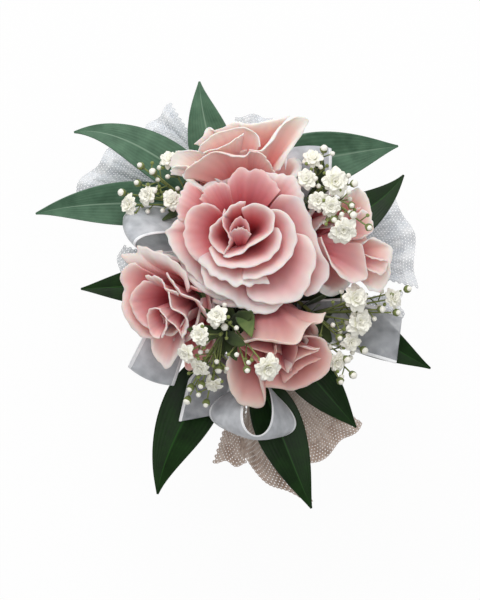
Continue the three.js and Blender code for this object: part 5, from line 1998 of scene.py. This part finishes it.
@dataclass
class Studio:
    """Pale floor, soft light from the top of the picture, and a long lens straight above.

    The floor lies lower than the band at its full stretch, so that the band never sinks into it.
    """

    floor_z: float = -67.0
    distance: float = 1.5
    view_height: float = 0.192
    aim: Point = (-3.2, -9.0, 30.0)
    sensor: float = 36.0

    CLIP_END = 10.0
    FLOOR_HALF = 1500.0
    FLOOR_GLOW = 0.95
    FILL = 0.45

    # Name, place and side in metres, watts
    LAMPS = (("window", (-0.15, 0.75, 0.75), 0.6, 6.0), ("overhead", (0.1, 0.1, 1.1), 0.8, 3.0))

    def camera(self) -> None:
        """Puts the camera over the corsage, with the forearm's far end at the top of the picture."""
        lens = bpy.data.cameras.new("camera")
        lens.sensor_width = self.sensor
        lens.lens = self.sensor * self.distance / self.view_height
        lens.clip_end = self.CLIP_END
        camera = bpy.data.objects.new("camera", lens)
        x, y, z = self.aim
        camera.location = (x * MM, y * MM, z * MM + self.distance)
        bpy.context.scene.collection.objects.link(camera)
        bpy.context.scene.camera = camera

    def lamp(self, name: str, place: Point, size: float, watts: float) -> None:
        """Adds a soft lamp that faces the corsage.

        Args:
            name: its name.
            place: where it stands, in metres.
            size: its side, in metres.
            watts: its power.
        """
        light = bpy.data.lights.new(name, "AREA")
        light.size = size
        light.energy = watts
        lamp = bpy.data.objects.new(name, light)
        lamp.location = place
        aim = bpy.data.objects.new(f"{name}_aim", None)
        bpy.context.scene.collection.objects.link(aim)
        bpy.context.scene.collection.objects.link(lamp)
        track = lamp.constraints.new("TRACK_TO")
        track.target = aim
        track.track_axis = "TRACK_NEGATIVE_Z"
        track.up_axis = "UP_Y"

    def world(self) -> None:
        """A white surround for the eye, and an even dim light on the corsage."""
        world = bpy.data.worlds.new("surround")
        bpy.context.scene.world = world
        world.use_nodes = True
        tree = world.node_tree
        back = tree.nodes["Background"]
        path = add(tree, "ShaderNodeLightPath").outputs
        seen = add(tree, "ShaderNodeMath", {"operation": "MAXIMUM"},
                   {0: path["Is Camera Ray"], 1: path["Is Transmission Ray"]})
        strength = add(tree, "ShaderNodeMapRange", None, {"Value": seen, "To Min": self.FILL, "To Max": 1.0})
        feed(tree, back, {"Strength": strength, "Color": linear("ffffff")})

    def floor(self) -> None:
        """A pale floor under the band, white to the eye, which keeps a soft shadow."""
        draft = Draft("floor")
        signs = ((-1, -1), (1, -1), (1, 1), (-1, 1))
        corners = np.array([(x * self.FLOOR_HALF, y * self.FLOOR_HALF, self.floor_z) for x, y in signs])
        draft.add(corners, [(0, 1, 2, 3)], np.zeros((4, 3)))
        tree, shader = new_material("floor_paper", Roughness=0.9, Base_Color=linear("f4f4f4"))
        path = add(tree, "ShaderNodeLightPath").outputs
        glow = add(tree, "ShaderNodeEmission", None, {"Color": linear("ffffff"), "Strength": 1.0})
        share = add(tree, "ShaderNodeMath", {"operation": "MULTIPLY"},
                    {0: path["Is Camera Ray"], 1: self.FLOOR_GLOW})
        mixed = add(tree, "ShaderNodeMixShader", None, {0: share, 1: shader, 2: glow})
        feed(tree, tree.nodes["Material Output"], {"Surface": mixed})
        draft.build([bpy.data.materials["floor_paper"]])

    def build(self) -> None:
        """Builds the stage."""
        bpy.context.scene.view_settings.view_transform = "Standard"
        self.camera()
        self.world()
        self.floor()
        for lamp in self.LAMPS:
            self.lamp(*lamp)


def main() -> None:
    """Builds the corsage in order, from the wrist outwards."""
    logging.basicConfig(level=logging.INFO, format="%(name)s: %(message)s")
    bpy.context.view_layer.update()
    Studio().build()
    ElasticBand().build()
    dress_node("clasp", Stuff.STEEL)
    TapedBundle().build()
    for rose in (centre_rose(), top_rose(), left_rose(), bottom_rose(), right_rose()):
        rose.build()
    for piece in (*ruscus_leaves(), *ribbons(), *tulle_puffs(), *sprigs()):
        piece.build()


if __name__ == "__main__":
    main()
